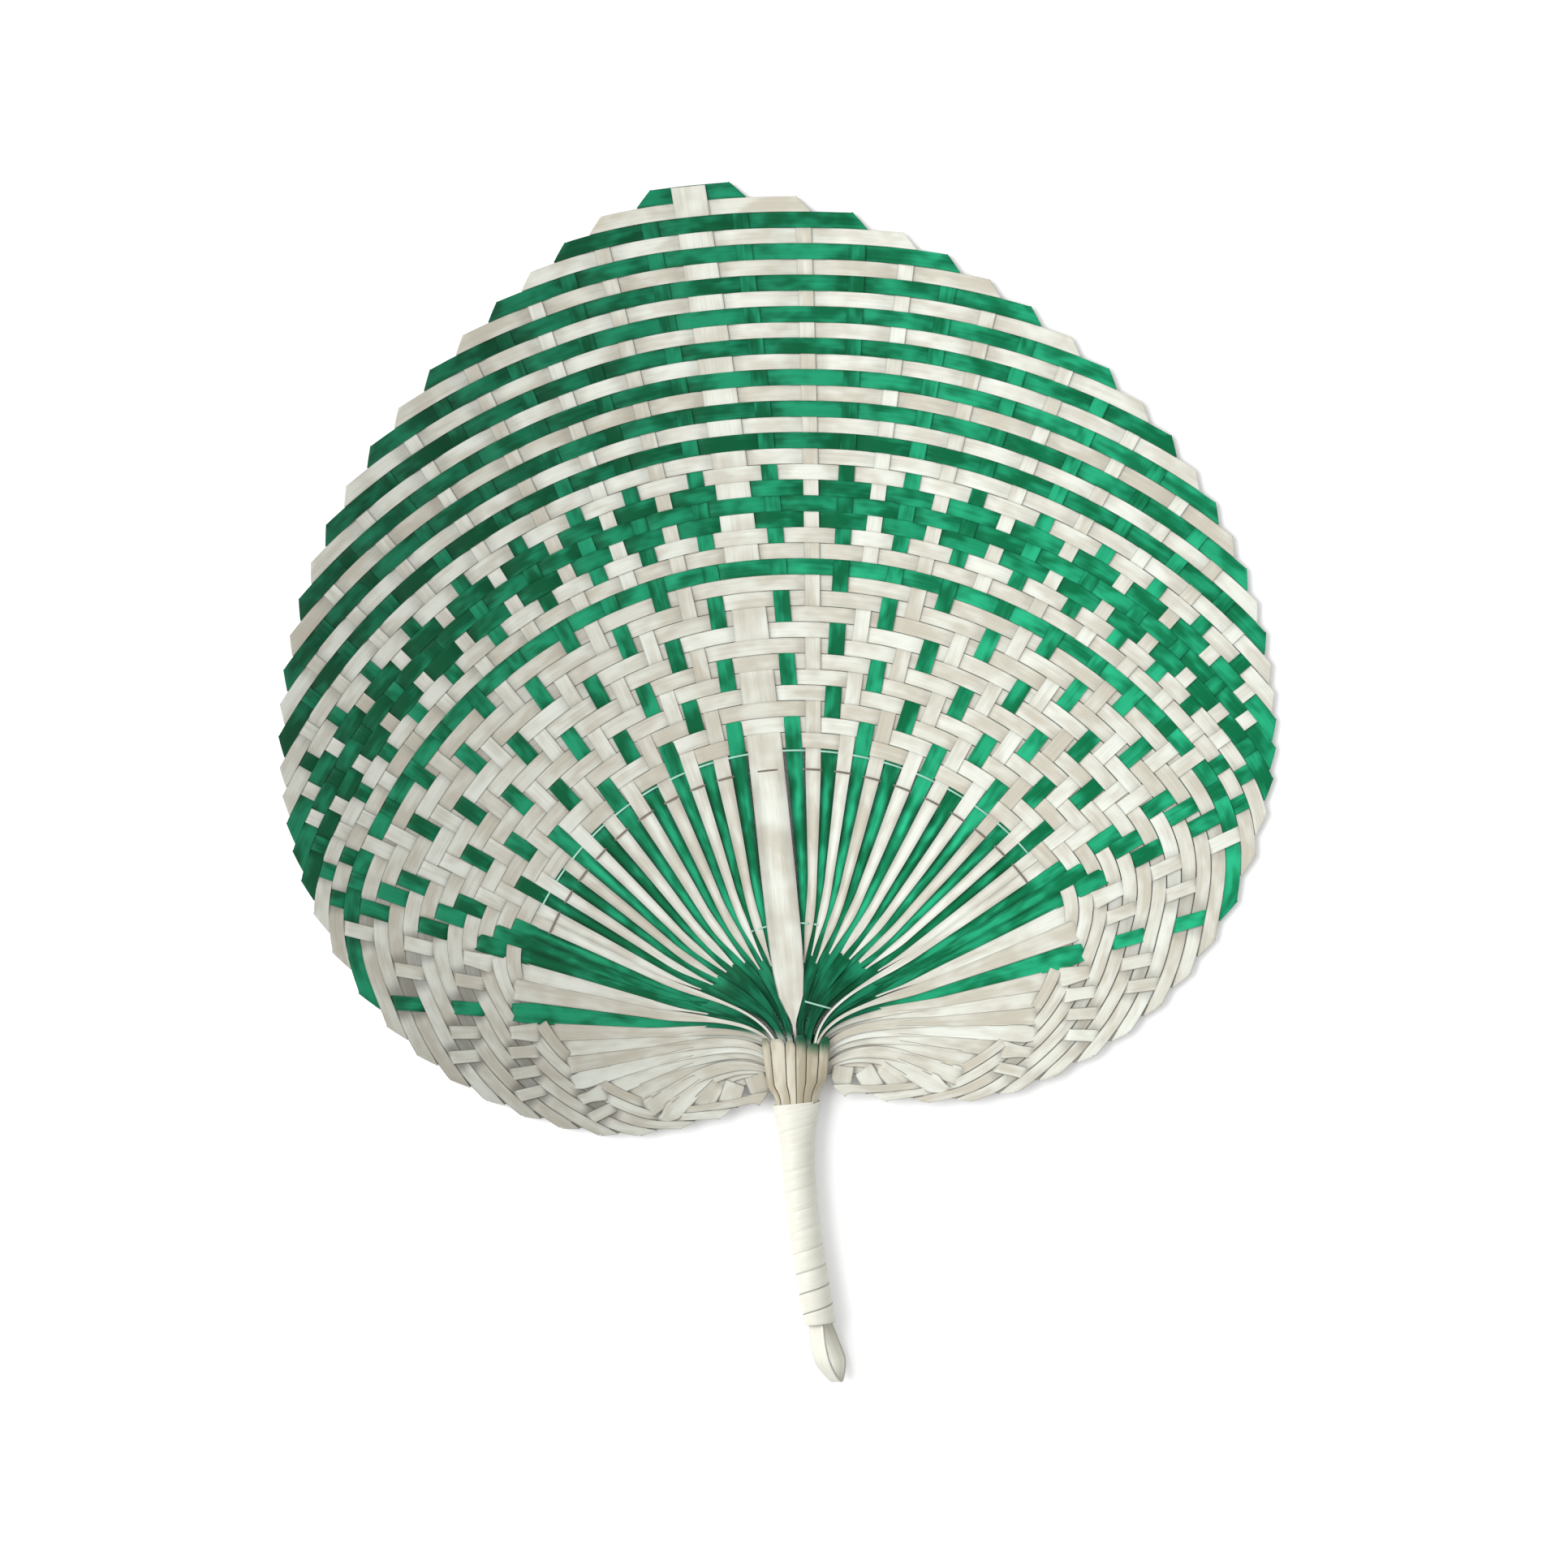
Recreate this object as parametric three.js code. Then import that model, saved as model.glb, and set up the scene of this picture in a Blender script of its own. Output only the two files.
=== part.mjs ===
// Woven bamboo hand fan lying on its back: X across the blade, Y from handle to tip, Z up.
// Lengths are in millimetres. Angles are in degrees from the fan's axis, about the focus at the neck.
// Every strip is one loop: it leaves the handle as a ray, folds over at the rim, crosses the blade
// as a row, folds again and comes back to the handle as a ray on the other side.
import * as THREE from "three";

// Strips
const STRIP_COUNT = 36;
const STRIP_WIDTH = 4.5;
const STRIP_THICKNESS = 0.3;
const STRIP_GAP = 0.75;
const CROSSING_CLEARANCE = 0.2;
const SLANT_TAPER = 1.4; // how strongly a strip narrows where it crosses the others at a slant
const PLAIN_ROWS = 25; // rows from the tip in plain weave, the others float over two and under two
const GREEN_STRIPES = 17; // every other row up to this one is dyed
const GREEN_ROWS = [20, 21, 22, 25]; // the band of crosses and the line under it

// Central rib
const RIB_WIDTH = 11.6;
const RIB_THICKNESS = 0.5;
const RIB_TAIL_WIDTH = 1.4;
const RIB_SHOULDER = 24; // distance from the focus where the rib reaches its full width

// Blade outline: angles from the axis, and distances from the focus in rows of strips
const RIM_ANGLES = [0, 4, 10, 20, 40, 60, 80, 100, 110, 120, 133, 146];
const RIM_ROWS = [54.86, 54.17, 52.5, 49.4, 43.52, 36.19, 27.05, 17.14, 12.76, 8.3, 4.85, 3.45];
const FIRST_ROW_SHARE = 0.5; // the rim follows the outer edge of the first row
const LOBE_START_ANGLE = 65; // below this the rows leave their circles and follow the lobe
const LOBE_BLEND_ANGLES = [55, 80];
const LAST_ROW_OVERRUN = 0.2; // rows left over where the rim meets the neck

// Unevenness of a blade made by hand: its tip leans to the left and its right half is wider
const TIP_LEAN = 6;
const LEAN_FROM = 80; // above the focus
const LEAN_FADE_ANGLES = [3, 16]; // the lean ends between these angles from the axis
const WIDER_SHARE = 0.028;
const EVEN_REACH = 25; // the neck within this distance of the focus stays even
const UNEVEN_REACH = 80;

// Crown of the blade, which falls from the neck to the table
const CROWN_REACH = 160;
const BLADE_CLEARANCE = 0.1;

// Neck, where the ends of the strips are gathered in columns and layers
const NECK_COLUMNS = 4;
const NECK_COLUMN_PITCH = 1.9;
const BOUND_COLUMN_PITCH = 1.05;
const BOUND_STRIP_WIDTH = 0.9;
const NECK_STRIP_WIDTH = 1.6;
const LAYER_CLEARANCE = 0.1;
const NECK_EXIT_DROP = 10; // how much lower the outermost strip leaves the bundle
const GATHER_TOP = [7, 25];
const GATHER_BOTTOM = [17, -1];

// Slats that cover the gathered ends at the neck, front and back
const FRONT_SLAT_EDGES = [-1, -0.76, -0.33, -0.02, 0.3, 0.68, 1]; // shares of the half width
const BACK_SLAT_EDGES = [-1, -0.6, -0.2, 0.2, 0.6, 1];
const SLAT_THICKNESS = 0.35;
const SLAT_GAP = 0.35;
const SLAT_CLEARANCE = 0.12;
const SLAT_TOP = 4; // above the focus
const SLAT_BOTTOM = 21.5; // below the focus, under the first turn of the tape
const SLAT_STEPS = 6;
const NECK_HALF_WIDTH = [
  [-4, 11.6],
  [9, 10.3],
  [14, 9.4],
  [16.5, 8.5],
  [18.5, 7.2],
  [22, 6.1],
];

// Grip, wound with a flat tape over a core
const BINDING_TOP = 18.5; // below the focus
const BOUND_DEPTH = 6; // how far the strips reach into the binding
const GRIP_END = 92; // below the focus
const TAPE_WIDTH = 5.6;
const TAPE_GAP = 0.5;
const TAPE_THICKNESS = 0.5;
const TAPE_STEPS = 24;
const GRIP_CLEARANCE = 0.3;
const GRIP_BOW = [
  [0, 0],
  [18, -1.7],
  [30, -2.9],
  [43, -3.6],
  [56, -3.8],
  [70, -3.15],
  [83, -2.35],
  [97, -1.05],
  [112, 2],
];
const GRIP_HALF_WIDTH = [
  [18, 7.7],
  [23, 6.7],
  [28, 5.75],
  [36, 5.1],
  [60, 4.95],
  [92, 4.85],
];
const GRIP_HALF_HEIGHT = [
  [18, 3.7],
  [28, 4.4],
  [40, 4.8],
  [60, 4.75],
  [92, 4.65],
];
const CORE_SIDES = 16;
const CORE_STEPS = 9;

// Hanging loop
const LOOP_END = 112; // below the focus
const LOOP_ROOT = 7; // length of each leg inside the binding
const LOOP_HALF_WIDTH = 5.7;
const LOOP_LEG_OFFSET = 2.1;
const LOOP_STRIP_WIDTH = 5.6;
const LOOP_BEND_WIDTH = 3.8;
const LOOP_THICKNESS = 0.85;
const LOOP_TWIST_ANGLE = -60;
const LOOP_STEPS = 30;

const BAMBOO = new THREE.MeshStandardMaterial({ color: 0xd9cfae, roughness: 0.55, metalness: 0 });
const DYED_BAMBOO = new THREE.MeshStandardMaterial({ color: 0x2f7d4f, roughness: 0.5, metalness: 0 });
const PALE_TAPE = new THREE.MeshStandardMaterial({ color: 0xeeeadb, roughness: 0.45, metalness: 0 });

const PITCH = STRIP_WIDTH + STRIP_GAP;
const RIM = RIM_ANGLES.map((angle, k) => [angle, RIM_ROWS[k]]);
const LOBE_END = RIM_ANGLES[RIM_ANGLES.length - 1];
const LAYERS = Math.ceil(STRIP_COUNT / NECK_COLUMNS);
const LAYER_PITCH = STRIP_THICKNESS + LAYER_CLEARANCE;
const NECK_HEIGHT = Math.max(...GRIP_HALF_HEIGHT.map((p) => p[1])) + TAPE_THICKNESS;
const STACK_TOP = ((LAYERS - 1) / 2) * LAYER_PITCH + STRIP_THICKNESS;
const CRIMP = STRIP_THICKNESS + CROSSING_CLEARANCE;
const LONG_CRIMP = 2 * STRIP_THICKNESS + 1.5 * CROSSING_CLEARANCE;
const RIM_HEIGHT = CRIMP + STRIP_THICKNESS + BLADE_CLEARANCE;

const rad = THREE.MathUtils.degToRad;
const deg = THREE.MathUtils.radToDeg;
const { lerp, smoothstep } = THREE.MathUtils;

// Smooth curve through a short list of points, read at x.
function splineAt(points, x) {
  const last = points.length - 1;
  const slope = (k) => {
    const a = points[Math.max(0, k - 1)];
    const b = points[Math.min(last, k + 1)];
    return (b[1] - a[1]) / (b[0] - a[0]);
  };
  if (x <= points[0][0]) return points[0][1] + slope(0) * (x - points[0][0]);
  if (x >= points[last][0]) return points[last][1] + slope(last) * (x - points[last][0]);
  const k = points.findIndex((p) => p[0] > x) - 1;
  const span = points[k + 1][0] - points[k][0];
  const u = (x - points[k][0]) / span;
  const rise = (1 + 2 * u) * (1 - u) ** 2 * points[k][1] + u * u * (3 - 2 * u) * points[k + 1][1];
  return rise + span * u * (1 - u) * ((1 - u) * slope(k) - u * slope(k + 1));
}

// The argument at which a rising function reaches a value.
function solve(rising, value, low, high) {
  for (let k = 0; k < 40; k++) {
    const middle = (low + high) / 2;
    if (rising(middle) < value) low = middle;
    else high = middle;
  }
  return (low + high) / 2;
}

const polar = (angle, radius) =>
  new THREE.Vector2(radius * Math.sin(rad(angle)), radius * Math.cos(rad(angle)));
const angleOf = (p) => deg(Math.atan2(p.x, p.y));
const rimRadius = (angle) => splineAt(RIM, angle) * PITCH;

// Length of the rim between two angles.
function rimLength(from, to) {
  const steps = 60;
  let length = 0;
  for (let k = 0; k < steps; k++) {
    const a = lerp(from, to, k / steps);
    const b = lerp(from, to, (k + 1) / steps);
    length += polar(a, rimRadius(a)).distanceTo(polar(b, rimRadius(b)));
  }
  return length;
}

// Number of the row that meets the rim at an angle: rows are circles round the focus above the
// lobes, and share the lobe's rim evenly below.
const circleRow = (angle) => FIRST_ROW_SHARE + (rimRadius(0) - rimRadius(angle)) / PITCH;
const LOBE_RIM = rimLength(LOBE_START_ANGLE, LOBE_END);
const LOBE_FIRST = circleRow(LOBE_START_ANGLE);
const LOBE_ROWS = STRIP_COUNT + LAST_ROW_OVERRUN - LOBE_FIRST;
const SLANT_FIRST = LOBE_FIRST - 3; // from this ray on the crossings are slanted

function rowAt(angle) {
  const share = rimLength(LOBE_START_ANGLE, angle) / LOBE_RIM;
  const signed = angle < LOBE_START_ANGLE ? -share : share;
  return lerp(circleRow(angle), LOBE_FIRST + LOBE_ROWS * signed, smoothstep(angle, ...LOBE_BLEND_ANGLES));
}

const rowRadius = (row, angle) => rimRadius(Math.abs(angle)) - (row - rowAt(Math.abs(angle))) * PITCH;

// Where a strip folds at the rim, and where it leaves the gathered neck.
function foldPoint(strip) {
  const angle = solve(rowAt, strip, 0, LOBE_END);
  return polar(angle, rimRadius(angle));
}

function gatherPoint(strip) {
  const share = (strip - 1) / (STRIP_COUNT - 1);
  const spread = Math.sin(Math.min(1, 1.6 * share) * (Math.PI / 2));
  return new THREE.Vector2(
    lerp(GATHER_TOP[0], GATHER_BOTTOM[0], spread),
    lerp(GATHER_TOP[1], GATHER_BOTTOM[1], share),
  );
}

const FOLDS = Array.from({ length: STRIP_COUNT + 2 }, (_, k) => foldPoint(k));
const GATHERS = Array.from({ length: STRIP_COUNT + 2 }, (_, k) => gatherPoint(k));
const rayPoint = (strip, share) => GATHERS[strip].clone().lerp(FOLDS[strip], share);

// Distance between a ray and its neighbours, part of the way out.
function raySpacing(strip, share) {
  const below = rayPoint(Math.max(1, strip - 1), share);
  const above = rayPoint(Math.min(STRIP_COUNT, strip + 1), share);
  const along = FOLDS[strip].clone().sub(GATHERS[strip]).normalize();
  const across = Math.abs(above.sub(below).cross(along));
  const neighbours = strip === 1 || strip === STRIP_COUNT ? 1 : 2;
  return across / neighbours;
}

// Direction of the rows at a point: they run round the focus, and slant where the lobe draws in.
function rowDirection(p) {
  const angle = angleOf(p);
  const slope = (rowRadius(1, angle + 0.5) - rowRadius(1, angle - 0.5)) / rad(1);
  return polar(angle + 90, p.length()).add(polar(angle, slope)).normalize();
}

// Rows and rays are narrower where they cross at a slant, so that neighbours stay clear.
function rowWidth(p) {
  return STRIP_WIDTH * Math.abs(rowDirection(p).cross(p.clone().normalize())) ** SLANT_TAPER;
}

function rayWidth(strip, share) {
  const along = FOLDS[strip].clone().sub(GATHERS[strip]).normalize();
  const slant = Math.abs(rowDirection(rayPoint(strip, share)).cross(along));
  const width = Math.min(0.82 * raySpacing(strip, share), STRIP_WIDTH * slant ** SLANT_TAPER);
  return Math.max(NECK_STRIP_WIDTH, width);
}

// Share of the way out at which a ray crosses a row.
function crossing(strip, row) {
  const past = (share) => {
    const p = rayPoint(strip, share);
    return p.length() - rowRadius(row, angleOf(p));
  };
  return solve(past, 0, 0, 1);
}

// Height of the blade's middle surface.
function bladeHeight(p) {
  const reach = Math.min(1, p.length() / CROWN_REACH);
  return lerp(NECK_HEIGHT, RIM_HEIGHT, (1 - Math.cos(Math.PI * reach)) / 2);
}

// Whether a ray lies over a row. A strip's last crossing is always under, so that it can fold over.
// The rib's end lies over the first row.
function rayIsOver(strip, row) {
  if (row === strip + 1) return strip === 0;
  return row <= PLAIN_ROWS ? (strip + row) % 2 === 0 : (strip + row) % 4 < 2;
}

// Splits a list of crossings into floats: neighbours that lie on the same side.
function floats(crossings) {
  const runs = [];
  for (const c of crossings) {
    const run = runs[runs.length - 1];
    if (run && run[0].over === c.over) run.push(c);
    else runs.push([c]);
  }
  return runs;
}

// Places and heights of one float: its middle, or both its ends where it is long or in a tight place.
function floatStations(run, thickness, endsOnly) {
  const side = run[0].over ? 1 : -1;
  const first = run[0];
  const last = run[run.length - 1];
  if (run.length === 1) return [{ at: first.at, lift: side * (thickness + CROSSING_CLEARANCE) }];
  if (run.length === 2 && !endsOnly)
    return [{ at: (first.at + last.at) / 2, lift: side * LONG_CRIMP }];
  const lift = side * (thickness + 1.5 * CROSSING_CLEARANCE);
  return [
    { at: first.at, lift },
    { at: last.at, lift },
  ];
}

// A closed solid from a list of rings with the same number of points.
function loft(rings) {
  const count = rings[0].length;
  const positions = rings.flat().flatMap((p) => [p.x, p.y, p.z]);
  const index = [];
  for (let r = 0; r + 1 < rings.length; r++)
    for (let k = 0; k < count; k++) {
      const a = r * count + k;
      const b = r * count + ((k + 1) % count);
      index.push(a, b, a + count, b, b + count, a + count);
    }
  const end = (rings.length - 1) * count;
  for (let k = 1; k + 1 < count; k++) index.push(0, k + 1, k, end, end + k, end + k + 1);
  const geometry = new THREE.BufferGeometry();
  geometry.setAttribute("position", new THREE.Float32BufferAttribute(positions, 3));
  geometry.setIndex(signedVolume(rings, index, count) < 0 ? index.reverse() : index);
  geometry.computeVertexNormals();
  return geometry;
}

function signedVolume(rings, index, count) {
  const point = (k) => rings[Math.floor(k / count)][k % count];
  let volume = 0;
  for (let k = 0; k < index.length; k += 3) {
    const [a, b, c] = [point(index[k]), point(index[k + 1]), point(index[k + 2])];
    volume += a.dot(b.clone().cross(c)) / 6;
  }
  return volume;
}

const flat = (p, z) => new THREE.Vector3(p.x, p.y, z);
const mirrored = (ring) => ring.map((p) => new THREE.Vector3(-p.x, p.y, p.z));

// Ring of a crowned strip: two edges and a ridge on the side that `up` gives.
function stripRing(station, across, up, thickness) {
  const half = across.clone().multiplyScalar(station.width / 2);
  return [
    flat(station.point.clone().add(half), station.z),
    flat(station.point, station.z + up * thickness),
    flat(station.point.clone().sub(half), station.z),
  ];
}

// Direction across a run of stations, turned clockwise from the way it travels.
function acrossAt(stations, k) {
  const before = stations[Math.max(0, k - 1)].point;
  const after = stations[Math.min(stations.length - 1, k + 1)].point;
  const along = after.clone().sub(before).normalize();
  return new THREE.Vector2(along.y, -along.x);
}

// Stations of the right-hand ray of a strip, from inside the binding to its last crossing.
function rayStations(strip) {
  const column = Math.floor((strip - 1) / LAYERS);
  const layer = ((strip - 1) % LAYERS) - (LAYERS - 1) / 2;
  const stack = layer * LAYER_PITCH;
  const share = (strip - 1) / (STRIP_COUNT - 1);
  const columnX = (pitch) => RIB_TAIL_WIDTH / 2 + LAYER_CLEARANCE + (column + 0.5) * pitch;
  const bound = columnX(BOUND_COLUMN_PITCH);
  const neck = columnX(NECK_COLUMN_PITCH);
  const gathered = (x, y, width) => ({ point: new THREE.Vector2(x, y), z: NECK_HEIGHT + stack, width });
  const stations = [
    gathered(bound, -BINDING_TOP - BOUND_DEPTH, BOUND_STRIP_WIDTH),
    gathered(bound, -BINDING_TOP, BOUND_STRIP_WIDTH),
    gathered(neck, -NECK_EXIT_DROP * share, NECK_STRIP_WIDTH),
  ];
  const put = (at, lift) => {
    const point = rayPoint(strip, at);
    stations.push({ point, z: bladeHeight(point) + lift, width: rayWidth(strip, at) });
  };
  put(0, stack);
  const crossings = [];
  for (let row = STRIP_COUNT; row > strip; row--)
    crossings.push({ at: crossing(strip, row), over: rayIsOver(strip, row) });
  const places = floats(crossings).flatMap((run) => floatStations(run, STRIP_THICKNESS, strip > SLANT_FIRST));
  const tight = raySpacing(strip, 0);
  const clear = (NECK_STRIP_WIDTH * 1.3 - tight) / (raySpacing(strip, 1) - tight);
  const length = GATHERS[strip].distanceTo(FOLDS[strip]);
  const entry = crossings.length ? crossings[0].at - (0.75 * STRIP_WIDTH) / length : 1;
  const spread = THREE.MathUtils.clamp(clear, 0.05, entry * 0.8);
  put(spread, stack);
  if (places.length) put(entry, places[0].lift * 0.6);
  for (const place of places) put(place.at, place.lift);
  return stations;
}

// Rings of the right half of a strip: its ray and the fold at the rim, where the ray turns over.
function halfStrip(strip) {
  const stations = rayStations(strip);
  const fold = FOLDS[strip];
  const height = bladeHeight(fold);
  const walk = [...stations, { point: fold }];
  const rings = stations.map((s, k) => stripRing(s, acrossAt(walk, k), 1, STRIP_THICKNESS));
  const out = fold.clone().sub(stations[stations.length - 1].point).normalize();
  const turn = angleOf(fold);
  const row = polar(turn - 90, 1);
  const crease = out.clone().add(row).normalize();
  const away = new THREE.Vector2(-crease.y, crease.x);
  if (away.dot(out) < 0) away.negate();
  const across = new THREE.Vector2(out.y, -out.x);
  const reach = STRIP_WIDTH / 2 / crease.dot(across);
  const ring = (offset, z, ridgeOffset, ridgeZ) => [
    flat(fold.clone().addScaledVector(crease, reach).addScaledVector(away, offset), z),
    flat(fold.clone().addScaledVector(away, ridgeOffset), ridgeZ),
    flat(fold.clone().addScaledVector(crease, -reach).addScaledVector(away, offset), z),
  ];
  rings.push(ring(0, height - CRIMP, 0, height - CRIMP + STRIP_THICKNESS));
  rings.push(ring(STRIP_THICKNESS, height, 0, height));
  rings.push(ring(0, height + CRIMP, 0, height + CRIMP - STRIP_THICKNESS));
  return rings;
}

// Rings of a strip's row, from the left fold to the right one, ridge down.
function rowRings(strip) {
  const crossings = [];
  for (let ray = strip - 1; ray > 0; ray--) {
    const angle = angleOf(rayPoint(ray, crossing(ray, strip)));
    crossings.push({ at: -angle, over: !rayIsOver(ray, strip), close: ray === 1 || ray > SLANT_FIRST });
  }
  const ribAngle = deg(Math.asin((0.3 * RIB_WIDTH) / rowRadius(strip, 0)));
  const right = crossings.map((c) => ({ ...c, at: -c.at })).reverse();
  const rib = [-ribAngle, ribAngle].map((at) => ({ at, over: !rayIsOver(0, strip), close: true }));
  const places = floats([...crossings, ...rib, ...right]).flatMap((run) =>
    floatStations(run, STRIP_THICKNESS, run.some((c) => c.close)),
  );
  const stations = places.map(({ at, lift }) => {
    const point = polar(at, rowRadius(strip, at));
    return { point, z: bladeHeight(point) + lift, width: rowWidth(point) };
  });
  const end = FOLDS[strip];
  const walk = [{ point: new THREE.Vector2(-end.x, end.y) }, ...stations, { point: end }];
  return stations.map((s, k) => stripRing(s, acrossAt(walk, k + 1), -1, STRIP_THICKNESS));
}

// Sideways bow of the handle, which starts at the focus.
const bowAt = (down) => (down > 0 ? splineAt(GRIP_BOW, down) : 0);

// The first three rings are gathered in the neck and shift sideways with the bow of the handle.
function bowed(rings) {
  for (const ring of rings.slice(0, 3)) for (const p of ring) p.x += bowAt(-p.y);
  return rings;
}

function stripGeometry(strip) {
  const left = bowed(halfStrip(strip).map(mirrored));
  const right = bowed(halfStrip(strip));
  return loft([...left, ...rowRings(strip), ...right.reverse()]);
}

// Moves the points of a strip to where the uneven blade has them.
function uneven(geometry) {
  const positions = geometry.getAttribute("position");
  for (let k = 0; k < positions.count; k++) {
    const [x, y] = [positions.getX(k), positions.getY(k)];
    const rise = Math.max(0, (y - LEAN_FROM) / (rimRadius(0) - LEAN_FROM));
    const turn = Math.abs(angleOf({ x, y }));
    const lean = TIP_LEAN * rise ** 2 * (1 - smoothstep(turn, ...LEAN_FADE_ANGLES));
    const wider = WIDER_SHARE * smoothstep(Math.hypot(x, y), EVEN_REACH, UNEVEN_REACH);
    positions.setX(k, x + wider * Math.abs(x) - lean);
  }
  geometry.computeVertexNormals();
  return geometry;
}

function ribGeometry() {
  const crossings = [];
  for (let row = STRIP_COUNT; row > 0; row--)
    crossings.push({ at: rowRadius(row, 0), over: rayIsOver(0, row) });
  const places = floats(crossings).flatMap((run) => floatStations(run, RIB_THICKNESS, true));
  const station = (y, width, lift) => {
    const point = new THREE.Vector2(bowAt(-y), y);
    const z = y > 0 ? bladeHeight(point) : NECK_HEIGHT;
    return { point, z: z + lift, width };
  };
  const stations = [
    station(-BINDING_TOP - BOUND_DEPTH, RIB_TAIL_WIDTH, 0),
    station(-BINDING_TOP, RIB_TAIL_WIDTH, 0),
    station(0, RIB_TAIL_WIDTH, 0),
    station(RIB_SHOULDER / 2, RIB_WIDTH / 2, 0),
    station(RIB_SHOULDER, RIB_WIDTH, 0),
    ...places.map(({ at, lift }) => station(at, RIB_WIDTH, lift)),
    station(rimRadius(0) - CROSSING_CLEARANCE, RIB_WIDTH, places[places.length - 1].lift),
  ];
  return loft(stations.map((s, k) => stripRing(s, acrossAt(stations, k), 1, RIB_THICKNESS)));
}

// Point on the inner face of the neck's cover: flat over the gathered ends at the top, and rounded
// into the grip at the bottom. `share` runs from -1 to 1 across it.
function neckPoint(down, share, side, lift) {
  const sunk = SLAT_CLEARANCE + SLAT_THICKNESS;
  const settle = smoothstep(down, -SLAT_TOP, BINDING_TOP);
  const wide = lerp(2 * NECK_HALF_WIDTH[0][1], splineAt(GRIP_HALF_WIDTH, BINDING_TOP) - sunk, settle);
  const reach = down > BINDING_TOP ? splineAt(GRIP_HALF_WIDTH, down) - sunk : wide;
  const bound = splineAt(GRIP_HALF_HEIGHT, Math.max(down, BINDING_TOP)) - sunk;
  const high = lerp(STACK_TOP + 4 * SLAT_CLEARANCE, bound, settle);
  const x = Math.min(splineAt(NECK_HALF_WIDTH, down), 0.95 * reach) * share;
  const z = side * (high * Math.sqrt(1 - (x / reach) ** 2) + lift);
  return new THREE.Vector3(x + bowAt(down), -down, NECK_HEIGHT + z);
}

function slatGeometry(edges, slat, side) {
  const trim = SLAT_GAP / (2 * NECK_HALF_WIDTH[0][1]);
  const from = edges[slat] + trim;
  const to = edges[slat + 1] - trim;
  const rings = [];
  for (let k = 0; k <= SLAT_STEPS; k++) {
    const down = lerp(-SLAT_TOP, SLAT_BOTTOM, k / SLAT_STEPS);
    rings.push([
      neckPoint(down, from, side, 0),
      neckPoint(down, from, side, SLAT_THICKNESS),
      neckPoint(down, to, side, SLAT_THICKNESS),
      neckPoint(down, to, side, 0),
    ]);
  }
  return loft(rings);
}

// Point on the grip's outside, `inset` under the face the tape lies on, `down` below the focus.
function gripPoint(down, turn, inset) {
  const wide = splineAt(GRIP_HALF_WIDTH, down) - inset;
  const high = splineAt(GRIP_HALF_HEIGHT, down) - inset;
  const x = splineAt(GRIP_BOW, down) + wide * Math.cos(turn);
  return new THREE.Vector3(x, -down, NECK_HEIGHT + high * Math.sin(turn));
}

function coreGeometry() {
  const top = BINDING_TOP + BOUND_DEPTH + GRIP_CLEARANCE;
  const bottom = GRIP_END - LOOP_ROOT - GRIP_CLEARANCE;
  const rings = [];
  for (let k = 0; k <= CORE_STEPS; k++) {
    const down = lerp(top, bottom, k / CORE_STEPS);
    const turns = Array.from({ length: CORE_SIDES }, (_, n) => (n / CORE_SIDES) * 2 * Math.PI);
    rings.push(turns.map((turn) => gripPoint(down, turn, GRIP_CLEARANCE)));
  }
  return loft(rings);
}

// The binding is one flat tape wound down the grip, each turn beside the last.
function bindingGeometry() {
  const advance = TAPE_WIDTH + TAPE_GAP;
  const turns = Math.floor((GRIP_END - BINDING_TOP - TAPE_WIDTH) / advance);
  const steps = turns * TAPE_STEPS;
  const spread = (GRIP_END - BINDING_TOP - TAPE_WIDTH) / turns;
  const rings = [];
  for (let k = 0; k <= steps; k++) {
    const turn = (k / TAPE_STEPS) * 2 * Math.PI;
    const middle = BINDING_TOP + TAPE_WIDTH / 2 + (k / TAPE_STEPS) * spread;
    const edges = [middle - TAPE_WIDTH / 2, middle + TAPE_WIDTH / 2];
    rings.push([
      gripPoint(edges[0], turn, 0),
      gripPoint(edges[0], turn, -TAPE_THICKNESS),
      gripPoint(edges[1], turn, -TAPE_THICKNESS),
      gripPoint(edges[1], turn, 0),
    ]);
  }
  let least = Infinity;
  for (let k = 0; k + TAPE_STEPS < rings.length; k++)
    least = Math.min(least, rings[k][2].distanceTo(rings[k + TAPE_STEPS][1]));
  console.log("grip binding: " + turns + " turns, least gap to itself " + least.toFixed(2) + " mm");
  return loft(rings);
}

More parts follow.
